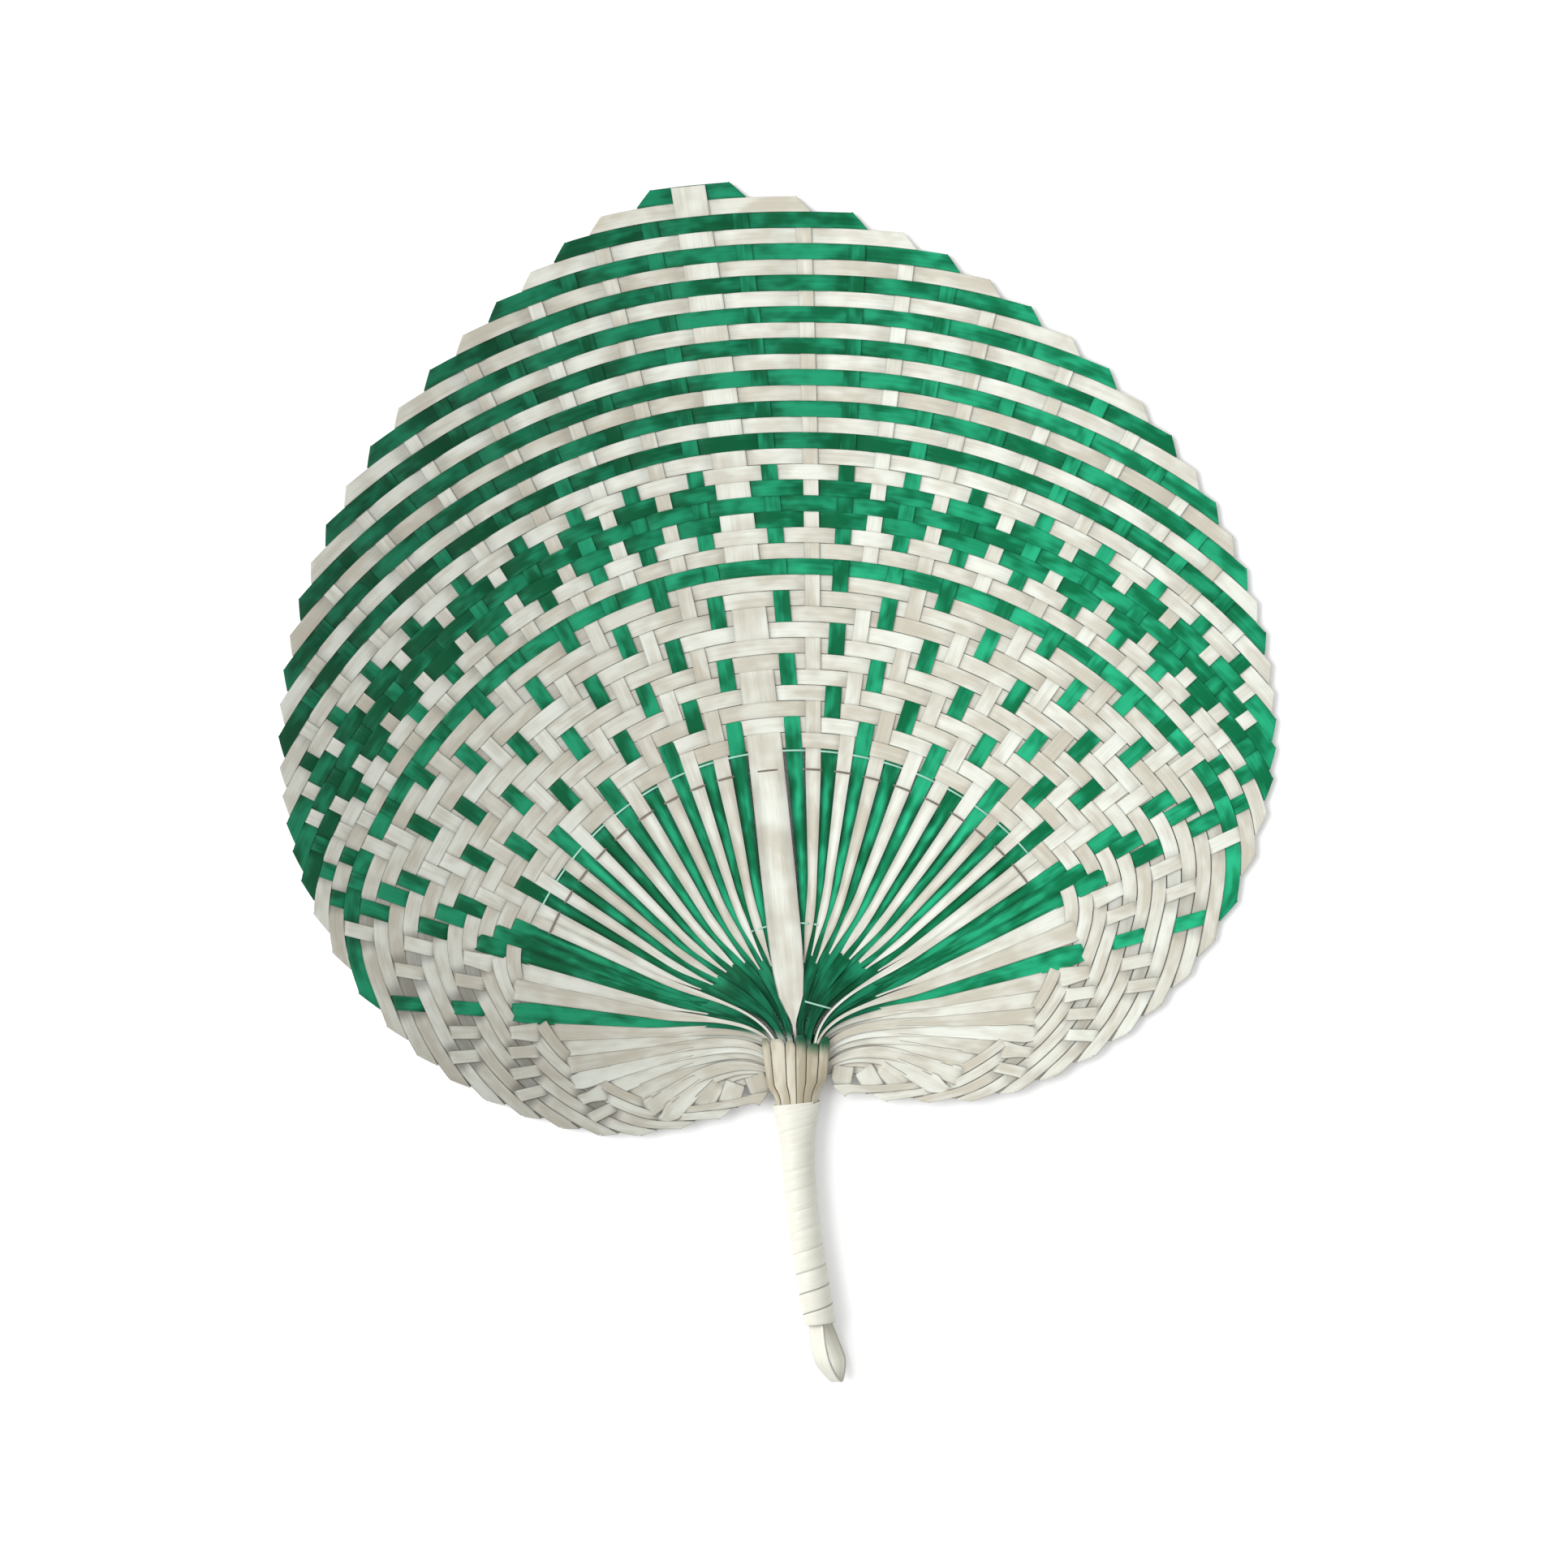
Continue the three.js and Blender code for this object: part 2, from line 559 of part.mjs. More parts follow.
// The loop is a flat strip bent round on itself, its legs held inside the end of the binding.
function loopGeometry() {
  const root = GRIP_END - LOOP_ROOT;
  const half = [
    [LOOP_LEG_OFFSET, root],
    [LOOP_LEG_OFFSET, GRIP_END - TAPE_WIDTH / 2],
    [LOOP_HALF_WIDTH - LOOP_THICKNESS, lerp(GRIP_END, LOOP_END, 0.45)],
    [LOOP_HALF_WIDTH - 1.5 * LOOP_THICKNESS, lerp(GRIP_END, LOOP_END, 0.72)],
  ];
  const outline = [...half, [0, LOOP_END - LOOP_THICKNESS / 2], ...half.map(([u, d]) => [-u, d]).reverse()];
  const curve = new THREE.CatmullRomCurve3(outline.map(([u, down]) => new THREE.Vector3(u, -down, 0)));
  const twist = rad(LOOP_TWIST_ANGLE);
  const wide = new THREE.Vector3(-Math.sin(twist), 0, Math.cos(twist));
  const rings = [];
  for (let k = 0; k <= LOOP_STEPS; k++) {
    const p = curve.getPointAt(k / LOOP_STEPS);
    const bend = smoothstep(-p.y, lerp(GRIP_END, LOOP_END, 0.6), LOOP_END);
    const width = lerp(LOOP_STRIP_WIDTH, LOOP_BEND_WIDTH, bend);
    const t = curve.getTangentAt(k / LOOP_STEPS);
    const normal = new THREE.Vector2(t.y, -t.x);
    const corner = (side, depth) => {
      const u = p.x + (side * normal.x * LOOP_THICKNESS) / 2;
      const y = p.y + (side * normal.y * LOOP_THICKNESS) / 2;
      const x = splineAt(GRIP_BOW, -p.y) + u * Math.cos(twist);
      const spot = new THREE.Vector3(x, y, NECK_HEIGHT + u * Math.sin(twist));
      return spot.addScaledVector(wide, (depth * width) / 2);
    };
    rings.push([corner(1, 1), corner(1, -1), corner(-1, -1), corner(-1, 1)]);
  }
  return loft(rings);
}

const isGreen = (row) => (row <= GREEN_STRIPES && row % 2 === 1) || GREEN_ROWS.includes(row);

const fan = new THREE.Group();

function add(name, geometry, material) {
  const mesh = new THREE.Mesh(geometry, material);
  mesh.name = name;
  fan.add(mesh);
}

add("central_rib", uneven(ribGeometry()), BAMBOO);
for (let strip = 1; strip <= STRIP_COUNT; strip++) {
  const dyed = isGreen(strip);
  const name = (dyed ? "green_strip_" : "natural_strip_") + String(strip).padStart(2, "0");
  add(name, uneven(stripGeometry(strip)), dyed ? DYED_BAMBOO : BAMBOO);
}
for (let slat = 0; slat + 1 < FRONT_SLAT_EDGES.length; slat++)
  add("neck_slat_front_" + (slat + 1), slatGeometry(FRONT_SLAT_EDGES, slat, 1), BAMBOO);
for (let slat = 0; slat + 1 < BACK_SLAT_EDGES.length; slat++)
  add("neck_slat_back_" + (slat + 1), slatGeometry(BACK_SLAT_EDGES, slat, -1), BAMBOO);
add("grip_core", coreGeometry(), BAMBOO);
add("grip_binding", bindingGeometry(), PALE_TAPE);
add("hanging_loop", loopGeometry(), PALE_TAPE);

// The origin is on the table, under the middle of the fan's outline.
const box = new THREE.Box3().setFromObject(fan);
const middle = box.getCenter(new THREE.Vector3());
for (const mesh of fan.children) mesh.geometry.translate(-middle.x, -middle.y, -box.min.z);

export default fan;
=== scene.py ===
"""Woven bamboo hand fan, lying on its back: strips, rib, threads, neck, grip, loop and stage."""

import math
import random

import bmesh
import bpy
from bpy.props import FloatProperty, FloatVectorProperty, PointerProperty
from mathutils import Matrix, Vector


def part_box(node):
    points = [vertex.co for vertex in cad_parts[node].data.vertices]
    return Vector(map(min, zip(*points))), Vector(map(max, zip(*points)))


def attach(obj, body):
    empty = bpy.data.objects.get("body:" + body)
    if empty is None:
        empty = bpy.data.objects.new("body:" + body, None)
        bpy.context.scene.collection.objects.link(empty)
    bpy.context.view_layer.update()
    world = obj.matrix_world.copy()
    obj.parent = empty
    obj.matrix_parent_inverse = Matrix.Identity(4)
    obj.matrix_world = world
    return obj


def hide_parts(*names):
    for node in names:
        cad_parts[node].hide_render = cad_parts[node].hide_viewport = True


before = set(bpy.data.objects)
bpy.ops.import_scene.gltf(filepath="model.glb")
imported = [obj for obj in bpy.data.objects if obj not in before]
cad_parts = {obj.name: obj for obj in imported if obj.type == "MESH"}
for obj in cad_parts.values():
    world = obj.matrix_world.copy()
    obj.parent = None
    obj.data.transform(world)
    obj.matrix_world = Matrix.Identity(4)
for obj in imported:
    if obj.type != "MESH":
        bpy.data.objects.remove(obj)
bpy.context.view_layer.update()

bl_info = {
    "name": "Woven Bamboo Fan",
    "version": (1, 0, 0),
    "blender": (4, 5, 0),
    "location": "3D View > Sidebar > Fan",
    "description": "Dresses the solids of a woven bamboo hand fan",
    "category": "Object",
}

# Lengths are in millimetres and angles in degrees. Panel, finishes and stage are in metres.
MM = 0.001
MM_PER_CM = 10

# Weave: rows are counted from the tip, the rim is given as (angle, radius in pitches)
STRIP_COUNT = 36
PITCH = 5.25
PLAIN_ROWS = 25
GREEN_ROWS = [*range(1, 18, 2), 20, 21, 22, 25]
RIM = [(0, 54.86), (4, 54.17), (10, 52.5), (20, 49.4), (40, 43.52), (60, 36.19), (80, 27.05), (100, 17.14)]
RIM += [(110, 12.76), (120, 8.3), (133, 4.85), (146, 3.45)]
LOBE_START = 65
LOBE_BLEND = (55, 80)
LAST_ROW_OVERRUN = 0.2
TABLE_OVERRUN = 4
SOLVE_STEPS = 30
CROSSING_STEPS = (0.0, 0.2, 0.35, 0.5, 0.65, 0.8)
FLOAT_ENDS = (0.22, 0.78)
WOVEN_MARGIN = 0.01
STRIP_CROWN = 0.06
STRIP_STEPS = 4

# Rows: dyed neighbours overlap, a natural row between two dyed ones leaves a gap
BAND_OVERLAP = 0.1
STRIPE_GAP = 0.15
RIB_FLAT_SHARE = 0.36

# Folds at the rim: the longest crease in strip widths, above and in the lobes
FOLD_STEPS = 8
LONGEST_CREASE = (1.7, 1.1)
SHORT_CREASES = (25, 31)

# Open rays: the share of their spacing that they cover; those of the wedge and the lobes are wide
WEDGE = (20, 21, 22, 23, 24, 25)
WEDGE_EDGES = (19, 24)
WOVEN_COVER = 0.98
DYED_COVER = 1.2
NATURAL_COVER = 1.02
COVER_REACH = (55, 90)
LOBE_COVER = 1.06
LAST_COVER = 1.2
LAST_RAYS_AFTER = 30
WIDE_RAY = 7.0
WIDE_RAY_FADE = 0.12
NARROWEST_RAY = 2.2
OPEN_LIFT = 0.16
OPEN_LIFT_END = (0.6, 1.0)
OPEN_STEPS = 8
OPEN_START = 32
OPEN_START_SHARE = 0.6
LAST_RAY_SHARE = 0.8

# Unevenness of a blade made by hand
TIP_LEAN = 6
LEAN_FROM = 80
LEAN_FADE = (3, 16)
WIDER_SHARE = 0.028
EVEN_REACH = 25
UNEVEN_REACH = 80

# Crown of the blade and the gathered neck
CROWN_REACH = 160
RIM_HEIGHT = 0.9
NECK_HEIGHT = 5.3
NECK_EXIT_DROP = 10
GATHER_TOP = (7, 25)
GATHER_BOTTOM = (17, -1)
GATHER_SPREAD = 1.6
GATHER_PULL = 1.15
LOBE_LEAVE = (0.95, 0.3)
LOBE_LEAVE_FROM = 26
NECK_STEPS = 28
BOUND_INSET = 0.8
BOUND_PITCH = 1.05
NECK_PITCH = 1.9
BINDING_TOP = 18.5
BOUND_END = 24.5
BOUND_WIDTH = 1.0
NECK_WIDTH = 1.7
NECK_WIDENING = (0.05, 0.75)

# Layers of the gathered ends, as (lowest, range) above the middle of the neck
LAYERS = 9
LAYER_ORDER = 7
EDGE_LAYER = 1.85
LINE_LAYER = -0.8
DYED_LAYERS = (0.5, 1.2)
NATURAL_LAYERS = (-1.6, 1.7)

# Tapers of the gathered ends, as (share of the width, from, to). A dyed end flares and a natural one
# dives at (first, step, unevenness, order) by strip, and the spans below that are counted from there
SURFACE_REACH = (24, 36)
LINE_TAPER = (0.5, 30, 48)
EDGE_TAPER = (0.45, 24, 44)
DYED_FAN = 0.15
DYED_FLARE = (20, 0.5, 0.8, 3)
WEDGE_FLARE = 28
DYED_NARROWING = (1, 14)
DYED_RISING = (-4, 8)
NATURAL_TIP = 0.2
NATURAL_DIVE = (24, 0.45, 0.9, 5)
NATURAL_WIDENING = (-1, 16)
NATURAL_RISING = (-6, 1)
UNEVEN_CYCLE = 7

# Middle rib: (place up from the neck, width, lift) up to where it has its full width
RIB_TAIL = [(-BOUND_END, 1, 0), (-BINDING_TOP, 1, 0), (-2, 1, 0), (4, 0.9, 0.4), (7, 1, 1.5), (9, 2, 2)]
RIB_TAIL += [(12, 4.4, 2.1), (17, 8.2, 2.1), (25, 10.2, 1.9), (33, 10.9, 1.4), (42, 11.2, 0.8)]
RIB_FULL = (56, 86)
RIB_LIFT = 0.25
RIB_CRIMP = 1.1
RIB_END_GAP = 0.3
RIB_THICKNESS = 1.3
RIB_HOLLOW = -0.08
RIB_STEPS = 6

# Tie threads: (name, radius, last ray on either side, over the dyed rays)
TIE_THREADS = (("outer", 98.2, 19, True), ("middle", 92.0, 21, False), ("inner", 41.0, 3, True))
THREAD_LIFT = 0.42
THREAD_DEPTH = 0.6
THREAD_CROWN = 0.08
THREAD_STEPS = 2
NECK_THREAD_X = (3.2, 13.4)
NECK_THREAD_Y = (15.2, 11.2)
NECK_THREAD_ACROSS = (0.37, 0.93, 0)
NECK_THREAD_LIFT = (2.05, 1.6)
NECK_THREAD_STEPS = 12

# Neck slats: edges as shares of the half width, tops above the neck
FRONT_SLAT_EDGES = (-1, -0.76, -0.33, -0.02, 0.3, 0.68, 1)
BACK_SLAT_EDGES = (-1, -0.6, -0.2, 0.2, 0.6, 1)
FRONT_SLAT_TOPS = (4, 3.4, 2.2, 4, 0.6, 2.4)
BACK_SLAT_TOPS = (4, 3, 4, 3.4, 4)
SLAT_TOP = 4
SLAT_BOTTOM = 21.5
SLAT_SUNK = 0.3
SLAT_STEPS = 32
SLAT_CROWDING = 1.3
SLAT_GAP = 0.01
SLAT_TIP_GAP = 0.06
SLAT_TIP = (-0.6, 2.2)
SLAT_CROWN = 0.1
NECK_HALF_WIDTH = [(-4, 11.6), (9, 10.3), (14, 9.4), (16.5, 8.5), (18.5, 7.2), (22, 6.1)]
NECK_HALF_HEIGHT = 2.5
NECK_FLANK = 0.95

# Grip: lists give a value for a place down the handle
GRIP_END = 92
GRIP_BOW = [(0, 0), (18, -1.7), (30, -2.9), (43, -3.6), (56, -3.8), (70, -3.15), (83, -2.35)]
GRIP_BOW += [(97, -1.05), (112, 2)]
GRIP_HALF_WIDTH = [(18, 7.7), (23, 6.7), (28, 5.75), (36, 5.1), (60, 4.95), (92, 4.85)]
GRIP_HALF_HEIGHT = [(18, 3.7), (28, 4.4), (40, 4.8), (60, 4.75), (92, 4.65)]
BINDING_TURNS = 11
BINDING_STEPS = 48
BINDING_TRIM = 6
BINDING_SUNK = 0.1
BINDING_LOOSE_FROM = BINDING_TOP + 34
BINDING_SEAM = (-0.1, 0.06)
BINDING_STEP = (0.012, 0.035)
BINDING_CROWN = 0.03

# Hanging loop
LOOP_END = 112
LOOP_ROOT = 7
LOOP_LEG = 2.1
LOOP_MOUTH = 2.8
LOOP_HALF_WIDTH = 5.7
LOOP_WIDEST = 0.45
LOOP_SHOULDER = 0.72
LOOP_SHOULDER_INSET = 1.5
LOOP_TWIST = -60
LOOP_BEND_SHARE = 0.68
LOOP_BEND_FROM = 0.6
LOOP_CROWN = 0.12
LOOP_STEPS = 14

# Meshes: a seed moves the grain along its strip, and a woven strip has its number as seed
SEED_STEP = 31.7
RIB_SEED = 40
THREAD_SEED = 50
NECK_THREAD_SEED = 59
SLAT_SEED = 60
BINDING_SEED = 80
LOOP_SEED = 90
BEVEL_ANGLE = 60
SMOOTH_ANGLE = 50
SLAT_BEVEL = 0.08 * MM
BINDING_BEVEL = 0.1 * MM
LOOP_BEVEL = 0.2 * MM

# Grain: stretch along and across a strip and detail, then ramps as (from, to, value, value)
FIBRE = (0.7, 24.0, 4.0)
STREAK = (0.22, 5.0, 3.0)
# Mottling: partly the bamboo's own colour, partly painted sheen and shade
MOTTLE_AND_SHEEN = (0.65, 0.7, 2.0)
MOTTLE_AND_SHEEN_RAMP = (0.33, 0.67)
STREAK_SHARE = 0.5
TONE_SHARE = 0.35
DARK_RAMP = (0.15, 1.0)
FIBRE_LINES = (0.52, 0.72, 1.0, 0.8)
# Painted shade along the edges of a strip
EDGE_SHADE_RAMP = (0.43, 0.5, 0.0, 0.38)
# Painted shade along both flanks of a strip, with a painted highlight down its middle
RAY_SHADE_RAMP = (0.08, 0.42, 0.28, -0.55)
SHEEN_RAMP = (0.3, 0.7, 0.34, 0.52)
FIBRE_HEIGHT = 0.6
STREAK_HEIGHT = 0.4
GRAIN_BUMP = {"Strength": 0.35, "Distance": 0.0003}

# Finishes, much of it painted light and shade: ramps over the place across, over the place down from the neck
# or over the reach from it
# Painted light from the right: paler to the right, darker to the left and in the left lobe
NATURAL_SIDE_LIGHT = (-0.18, 0.08, 0.57, 1.06)
GREEN_SIDE_LIGHT = (-0.18, 0.16, 0.45, 1.25)
LOBE_SIDE_SHADE = (-0.09, -0.01, 0.84, 1.0)
LOBE_SHADE_DOWN = (-0.05, 0.01)
# Painted shade along the edges of the strips: stronger low on the blade, on the grip only towards its lower
# end, on dyed strips strongest near the neck
NATURAL_EDGE_SHADE = (-0.05, 0.01, 0.5, 1.7)
SEAM_EDGE_SHADE = (0.055, 0.08, 0.0, 1.0)
DYED_EDGE_SHADE = (0.02, 0.09, 1.5, 0.6)
# Painted shade along both flanks of the open rays near the neck, with a painted highlight down their middles
NATURAL_RAY_SHADE = 0.3
DYED_RAY_SHADE = 1.0
RAY_SHADE_DOWN = (-0.05, -0.02)
RAY_SHADE_REACH = (0.088, 0.098)
# Painted shade where a strip dips under another, stronger in the lobes and to the left, and a painted
# highlight where it lies over
UPPER_DIP_SHADE = (-0.12, 0.06, 0.82, 0.93)
LOBE_DIP_SHADE = (-0.12, 0.06, 0.5, 0.74)
DIP_SHADE_DOWN = (-0.11, -0.01)
OVER_HIGHLIGHT = 1.02
NECK_SHADE = (0.012, 0.055, 0.45, 1.0)
RIM_SHADE = (-0.1, 0.1, 0.62, 0.9)
RIM_REACH = (0.16, 0.22)
RAGGED_GRAIN = 0.006
RAGGED_TONE = 0.002
RAGGED_SIDES = (-0.011, 0.011)
RAGGED_SLANT = (0.002, -0.004)
RAGGED_BLEND = 0.003
SLAT_DYE = 0.8
THREAD_TWIST = {"Scale": 14.0, "Distortion": 1.0}
THREAD_SHADE = 0.6
STICK_STRETCH = (900, 40, 900)
STICK_SHEEN = (0.3, 0.7, 0.45, 0.65)

# Stage: lights as (name, place, size, power)
FLOOR_SIZE = 12
FLOOR_DROP = 0.0003
SKY_STRENGTH = 0.84
LIGHTS = (
    ("key_light", (-1.0, 0.35, 0.95), 1.3, 26),
    ("fill_light", (0.9, -0.5, 1.4), 1.3, 2),
)
CAMERA_PLACE = (0.0004, -0.0009, 1.6)
CAMERA_TURN = -6.0
SENSOR_WIDTH = 36
VIEW_WIDTH = 0.5215

# Focus of the weave, from the places of the solids
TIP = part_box("central_rib")[1]
TIP_GAP = 0.2
GRIP_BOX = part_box("grip_binding")
GRIP_LIFT = (GRIP_BOX[0].z + GRIP_BOX[1].z) / 2 / MM - NECK_HEIGHT
NECK_MIDDLE = (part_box("neck_slat_front_1")[0].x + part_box("neck_slat_front_6")[1].x) / 2 / MM
FOCUS = Vector((NECK_MIDDLE, TIP.y / MM - (RIM[0][1] * PITCH - TIP_GAP), GRIP_LIFT))


class FanSizes(bpy.types.PropertyGroup):
    """Sizes of the strips and of what binds them."""

    natural_width: FloatProperty(
        name="Natural strip", description="Width of an undyed strip", default=0.00505, unit="LENGTH"
    )
    green_width: FloatProperty(
        name="Green strip", description="Width of a dyed strip", default=0.0053, unit="LENGTH"
    )
    strip_thickness: FloatProperty(
        name="Strip thickness", description="Thickness of a strip", default=0.00022, unit="LENGTH"
    )
    crimp: FloatProperty(
        name="Crimp",
        description="How far a strip rises where it crosses another",
        default=0.00026,
        unit="LENGTH",
    )
    rib_width: FloatProperty(
        name="Rib", description="Width of the middle rib", default=0.0114, unit="LENGTH"
    )
    thread: FloatProperty(
        name="Thread", description="Width of the tie threads", default=0.0005, unit="LENGTH"
    )
    slat_thickness: FloatProperty(
        name="Slat thickness", description="Thickness of the neck slats", default=0.00035, unit="LENGTH"
    )
    binding_thickness: FloatProperty(
        name="Binding thickness", description="Thickness of the grip's binding", default=0.0005, unit="LENGTH"
    )
    loop_width: FloatProperty(
        name="Loop width", description="Width of the loop's strip", default=0.0056, unit="LENGTH"
    )
    loop_thickness: FloatProperty(
        name="Loop thickness", description="Thickness of the loop's strip", default=0.00085, unit="LENGTH"
    )


def colour(name, description, default):
    return FloatVectorProperty(
        name=name, description=description, default=default, size=3, subtype="COLOR", min=0.0, max=1.0
    )


class FanColours(bpy.types.PropertyGroup):
    """Colours of the bamboo, its dye, the thread and the floor."""

    natural_light: colour("Natural, light", "Pale side of undyed bamboo", (0.60, 0.62, 0.562))
    natural_dark: colour("Natural, dark", "Warm side of undyed bamboo", (0.415, 0.39, 0.32))
    green_light: colour("Dye, light", "Thin dye on the skin side", (0.015, 0.315, 0.155))
    green_dark: colour("Dye, dark", "Deep dye in the fibres", (0.0008, 0.098, 0.036))
    slat_light: colour("Slat, light", "Pale side of the neck slats", (0.50, 0.475, 0.385))
    slat_dark: colour("Slat, dark", "Warm side of the neck slats", (0.31, 0.275, 0.195))
    binding_light: colour("Binding, light", "Scraped skin of the binding", (0.59, 0.59, 0.525))
    binding_dark: colour("Binding, dark", "Fibres of the binding", (0.49, 0.48, 0.41))
    thread: colour("Thread", "Tie threads", (0.16, 0.13, 0.10))
    pale_thread: colour("Pale thread", "Tie threads stained by the dye", (0.3, 0.54, 0.44))
    floor: colour("Floor", "Studio floor", (0.93, 0.93, 0.93))


def sizes():
    return bpy.context.scene.fan_sizes


def colours():
    return bpy.context.scene.fan_colours


def lerp(a, b, t):
    return a + (b - a) * t


def smooth(x, low, high):
    t = min(1.0, max(0.0, (x - low) / (high - low)))
    return t * t * (3 - 2 * t)


def around(place, span):
    return place + span[0], place + span[1]


def spline_at(points, x):
    """Smooth curve through a short list of points, read at x."""
    last = len(points) - 1

    def slope(k):
        a = points[max(0, k - 1)]
        b = points[min(last, k + 1)]
        return (b[1] - a[1]) / (b[0] - a[0])

    if x <= points[0][0]:
        return points[0][1] + slope(0) * (x - points[0][0])
    if x >= points[last][0]:
        return points[last][1] + slope(last) * (x - points[last][0])
    k = next(n for n in range(last) if points[n + 1][0] > x)
    span = points[k + 1][0] - points[k][0]
    u = (x - points[k][0]) / span
    rise = (1 + 2 * u) * (1 - u) ** 2 * points[k][1] + u * u * (3 - 2 * u) * points[k + 1][1]
    return rise + span * u * (1 - u) * ((1 - u) * slope(k) - u * slope(k + 1))


def catmull(points, place):
    """Point on a smooth curve through a list of points."""
    k = min(int(place), len(points) - 2)
    t = place - k
    p = [Vector(points[min(len(points) - 1, max(0, k + n))]) for n in (-1, 0, 1, 2)]
    curve = 2 * p[1] + (p[2] - p[0]) * t + (2 * p[0] - 5 * p[1] + 4 * p[2] - p[3]) * t * t
    curve += (3 * p[1] - p[0] - 3 * p[2] + p[3]) * t**3
    return curve / 2


def solve(rising, value, low, high):
    """Where a rising function reaches a value."""
    for _ in range(SOLVE_STEPS):
        middle = (low + high) / 2
        if rising(middle) < value:
            low = middle
        else:
            high = middle
    return (low + high) / 2


def polar(angle, radius):
    a = math.radians(angle)
    return Vector((radius * math.sin(a), radius * math.cos(a)))


def angle_of(p):
    return math.degrees(math.atan2(p.x, p.y))


def rim_radius(angle):
    return spline_at(RIM, angle) * PITCH


def circle_row(angle):
    return 0.5 + RIM[0][1] - rim_radius(angle) / PITCH


def row_table():
    """Number of the row that meets the rim, every half degree from the tip to the neck."""
    angles = [k / 2 for k in range(2 * (RIM[-1][0] + TABLE_OVERRUN) + 1)]
    walk = [0.0]
    for a, b in zip(angles, angles[1:]):
        walk.append(walk[-1] + (polar(b, rim_radius(b)) - polar(a, rim_radius(a))).length)
    start = walk[2 * LOBE_START]
    lobe = walk[2 * RIM[-1][0]] - start
    first = circle_row(LOBE_START)
    rows = STRIP_COUNT + LAST_ROW_OVERRUN - first
    shares = [first + rows * (w - start) / lobe for w in walk]
    return [lerp(circle_row(a), share, smooth(a, *LOBE_BLEND)) for a, share in zip(angles, shares)]


ROW_TABLE = row_table()


def row_at(angle):
    place = min(abs(angle) * 2, len(ROW_TABLE) - 1.001)
    k = int(place)
    return lerp(ROW_TABLE[k], ROW_TABLE[k + 1], place - k)


def row_radius(row, angle):
    return rim_radius(abs(angle)) - (row - row_at(angle)) * PITCH


def fold_point(strip):
    angle = solve(row_at, strip, 0, RIM[-1][0])
    return polar(angle, rim_radius(angle))


def gather_point(strip):
    """Where the straight part of a ray would start beside the neck."""
    share = (strip - 1) / (STRIP_COUNT - 1)
    spread = math.sin(min(1, GATHER_SPREAD * share) * math.pi / 2)
    x = lerp(GATHER_TOP[0], GATHER_BOTTOM[0], spread)
    return Vector((x, lerp(GATHER_TOP[1], GATHER_BOTTOM[1], share)))


FOLDS = [fold_point(k) for k in range(STRIP_COUNT + 1)]
GATHERS = [gather_point(k) for k in range(STRIP_COUNT + 1)]


def ray_point(strip, share):
    return GATHERS[strip].lerp(FOLDS[strip], share)


def ray_along(strip):
    return (FOLDS[strip] - GATHERS[strip]).normalized()


def ray_spacing(strip, share):
    """Distance from a ray to its neighbours, measured across it."""
    low = max(1, strip - 1)
    high = min(STRIP_COUNT, strip + 1)
    gap = ray_point(high, share) - ray_point(low, share)
    along = ray_along(strip)
    return abs(gap.x * along.y - gap.y * along.x) / (high - low)


def crossing(strip, row):
    """Share of the way out at which a ray crosses a row."""

    def past(share):
        p = ray_point(strip, share)
        return p.length - row_radius(row, angle_of(p))

    return solve(past, 0, 0, 1)


CROSSINGS = {(ray, row): crossing(ray, row) for row in range(2, STRIP_COUNT + 1) for ray in range(1, row)}
CROSSINGS[STRIP_COUNT, STRIP_COUNT] = 1.0


def row_direction(p):
    """Direction of the row through a point of the right half, clockwise."""
    angle = angle_of(p)
    slope = (row_radius(1, angle + 0.5) - row_radius(1, angle - 0.5)) / math.radians(1)
    return (polar(angle + 90, p.length) + polar(angle, slope)).normalized()


def full_width(strip):
    return (sizes().green_width if strip in GREEN_ROWS else sizes().natural_width) / MM


def row_width(strip, p):
    """Width of a row, measured across its own direction."""
    out = p.normalized()
    along = row_direction(p)
    width = full_width(strip)
    dyed_beside = (strip - 1 in GREEN_ROWS) + (strip + 1 in GREEN_ROWS)
    if strip in GREEN_ROWS and dyed_beside:
        width = PITCH + BAND_OVERLAP
    elif strip not in GREEN_ROWS and dyed_beside == 2:
        width = 2 * PITCH - sizes().green_width / MM - STRIPE_GAP
    return width * abs(along.x * out.y - along.y * out.x)


def ray_width(strip, share):
    """Width of a ray, limited by the room between its neighbours; some are wider in their open part."""
    along = ray_along(strip)
    p = ray_point(strip, share)
    row = row_direction(p)
    width = full_width(strip) * abs(row.x * along.y - row.y * along.x)
    if strip > GREEN_ROWS[-1] or strip in WEDGE:
        inner = CROSSINGS[strip, STRIP_COUNT]
        width = lerp(width, WIDE_RAY, 1 - smooth(share, inner, inner + WIDE_RAY_FADE))
        cover = LAST_COVER if strip > LAST_RAYS_AFTER else LOBE_COVER
    else:
        open_cover = DYED_COVER if strip in GREEN_ROWS else NATURAL_COVER
        cover = lerp(open_cover, WOVEN_COVER, smooth(p.length, *COVER_REACH))
    return max(NARROWEST_RAY, min(cover * ray_spacing(strip, share), width))


def blade_height(p):
    """Height of the blade's middle surface: a low crown that rises to the neck."""
    reach = min(1, p.length / CROWN_REACH)
    return lerp(NECK_HEIGHT, RIM_HEIGHT, (1 - math.cos(math.pi * reach)) / 2)


def ray_is_over(ray, row):
    """Plain weave near the rim, two over and two under inside it, and each fold turned to the front."""
    if row == ray + 1:
        return ray == 0
    return (ray + row) % 2 == 0 if row <= PLAIN_ROWS else (ray + row) % 4 < 2


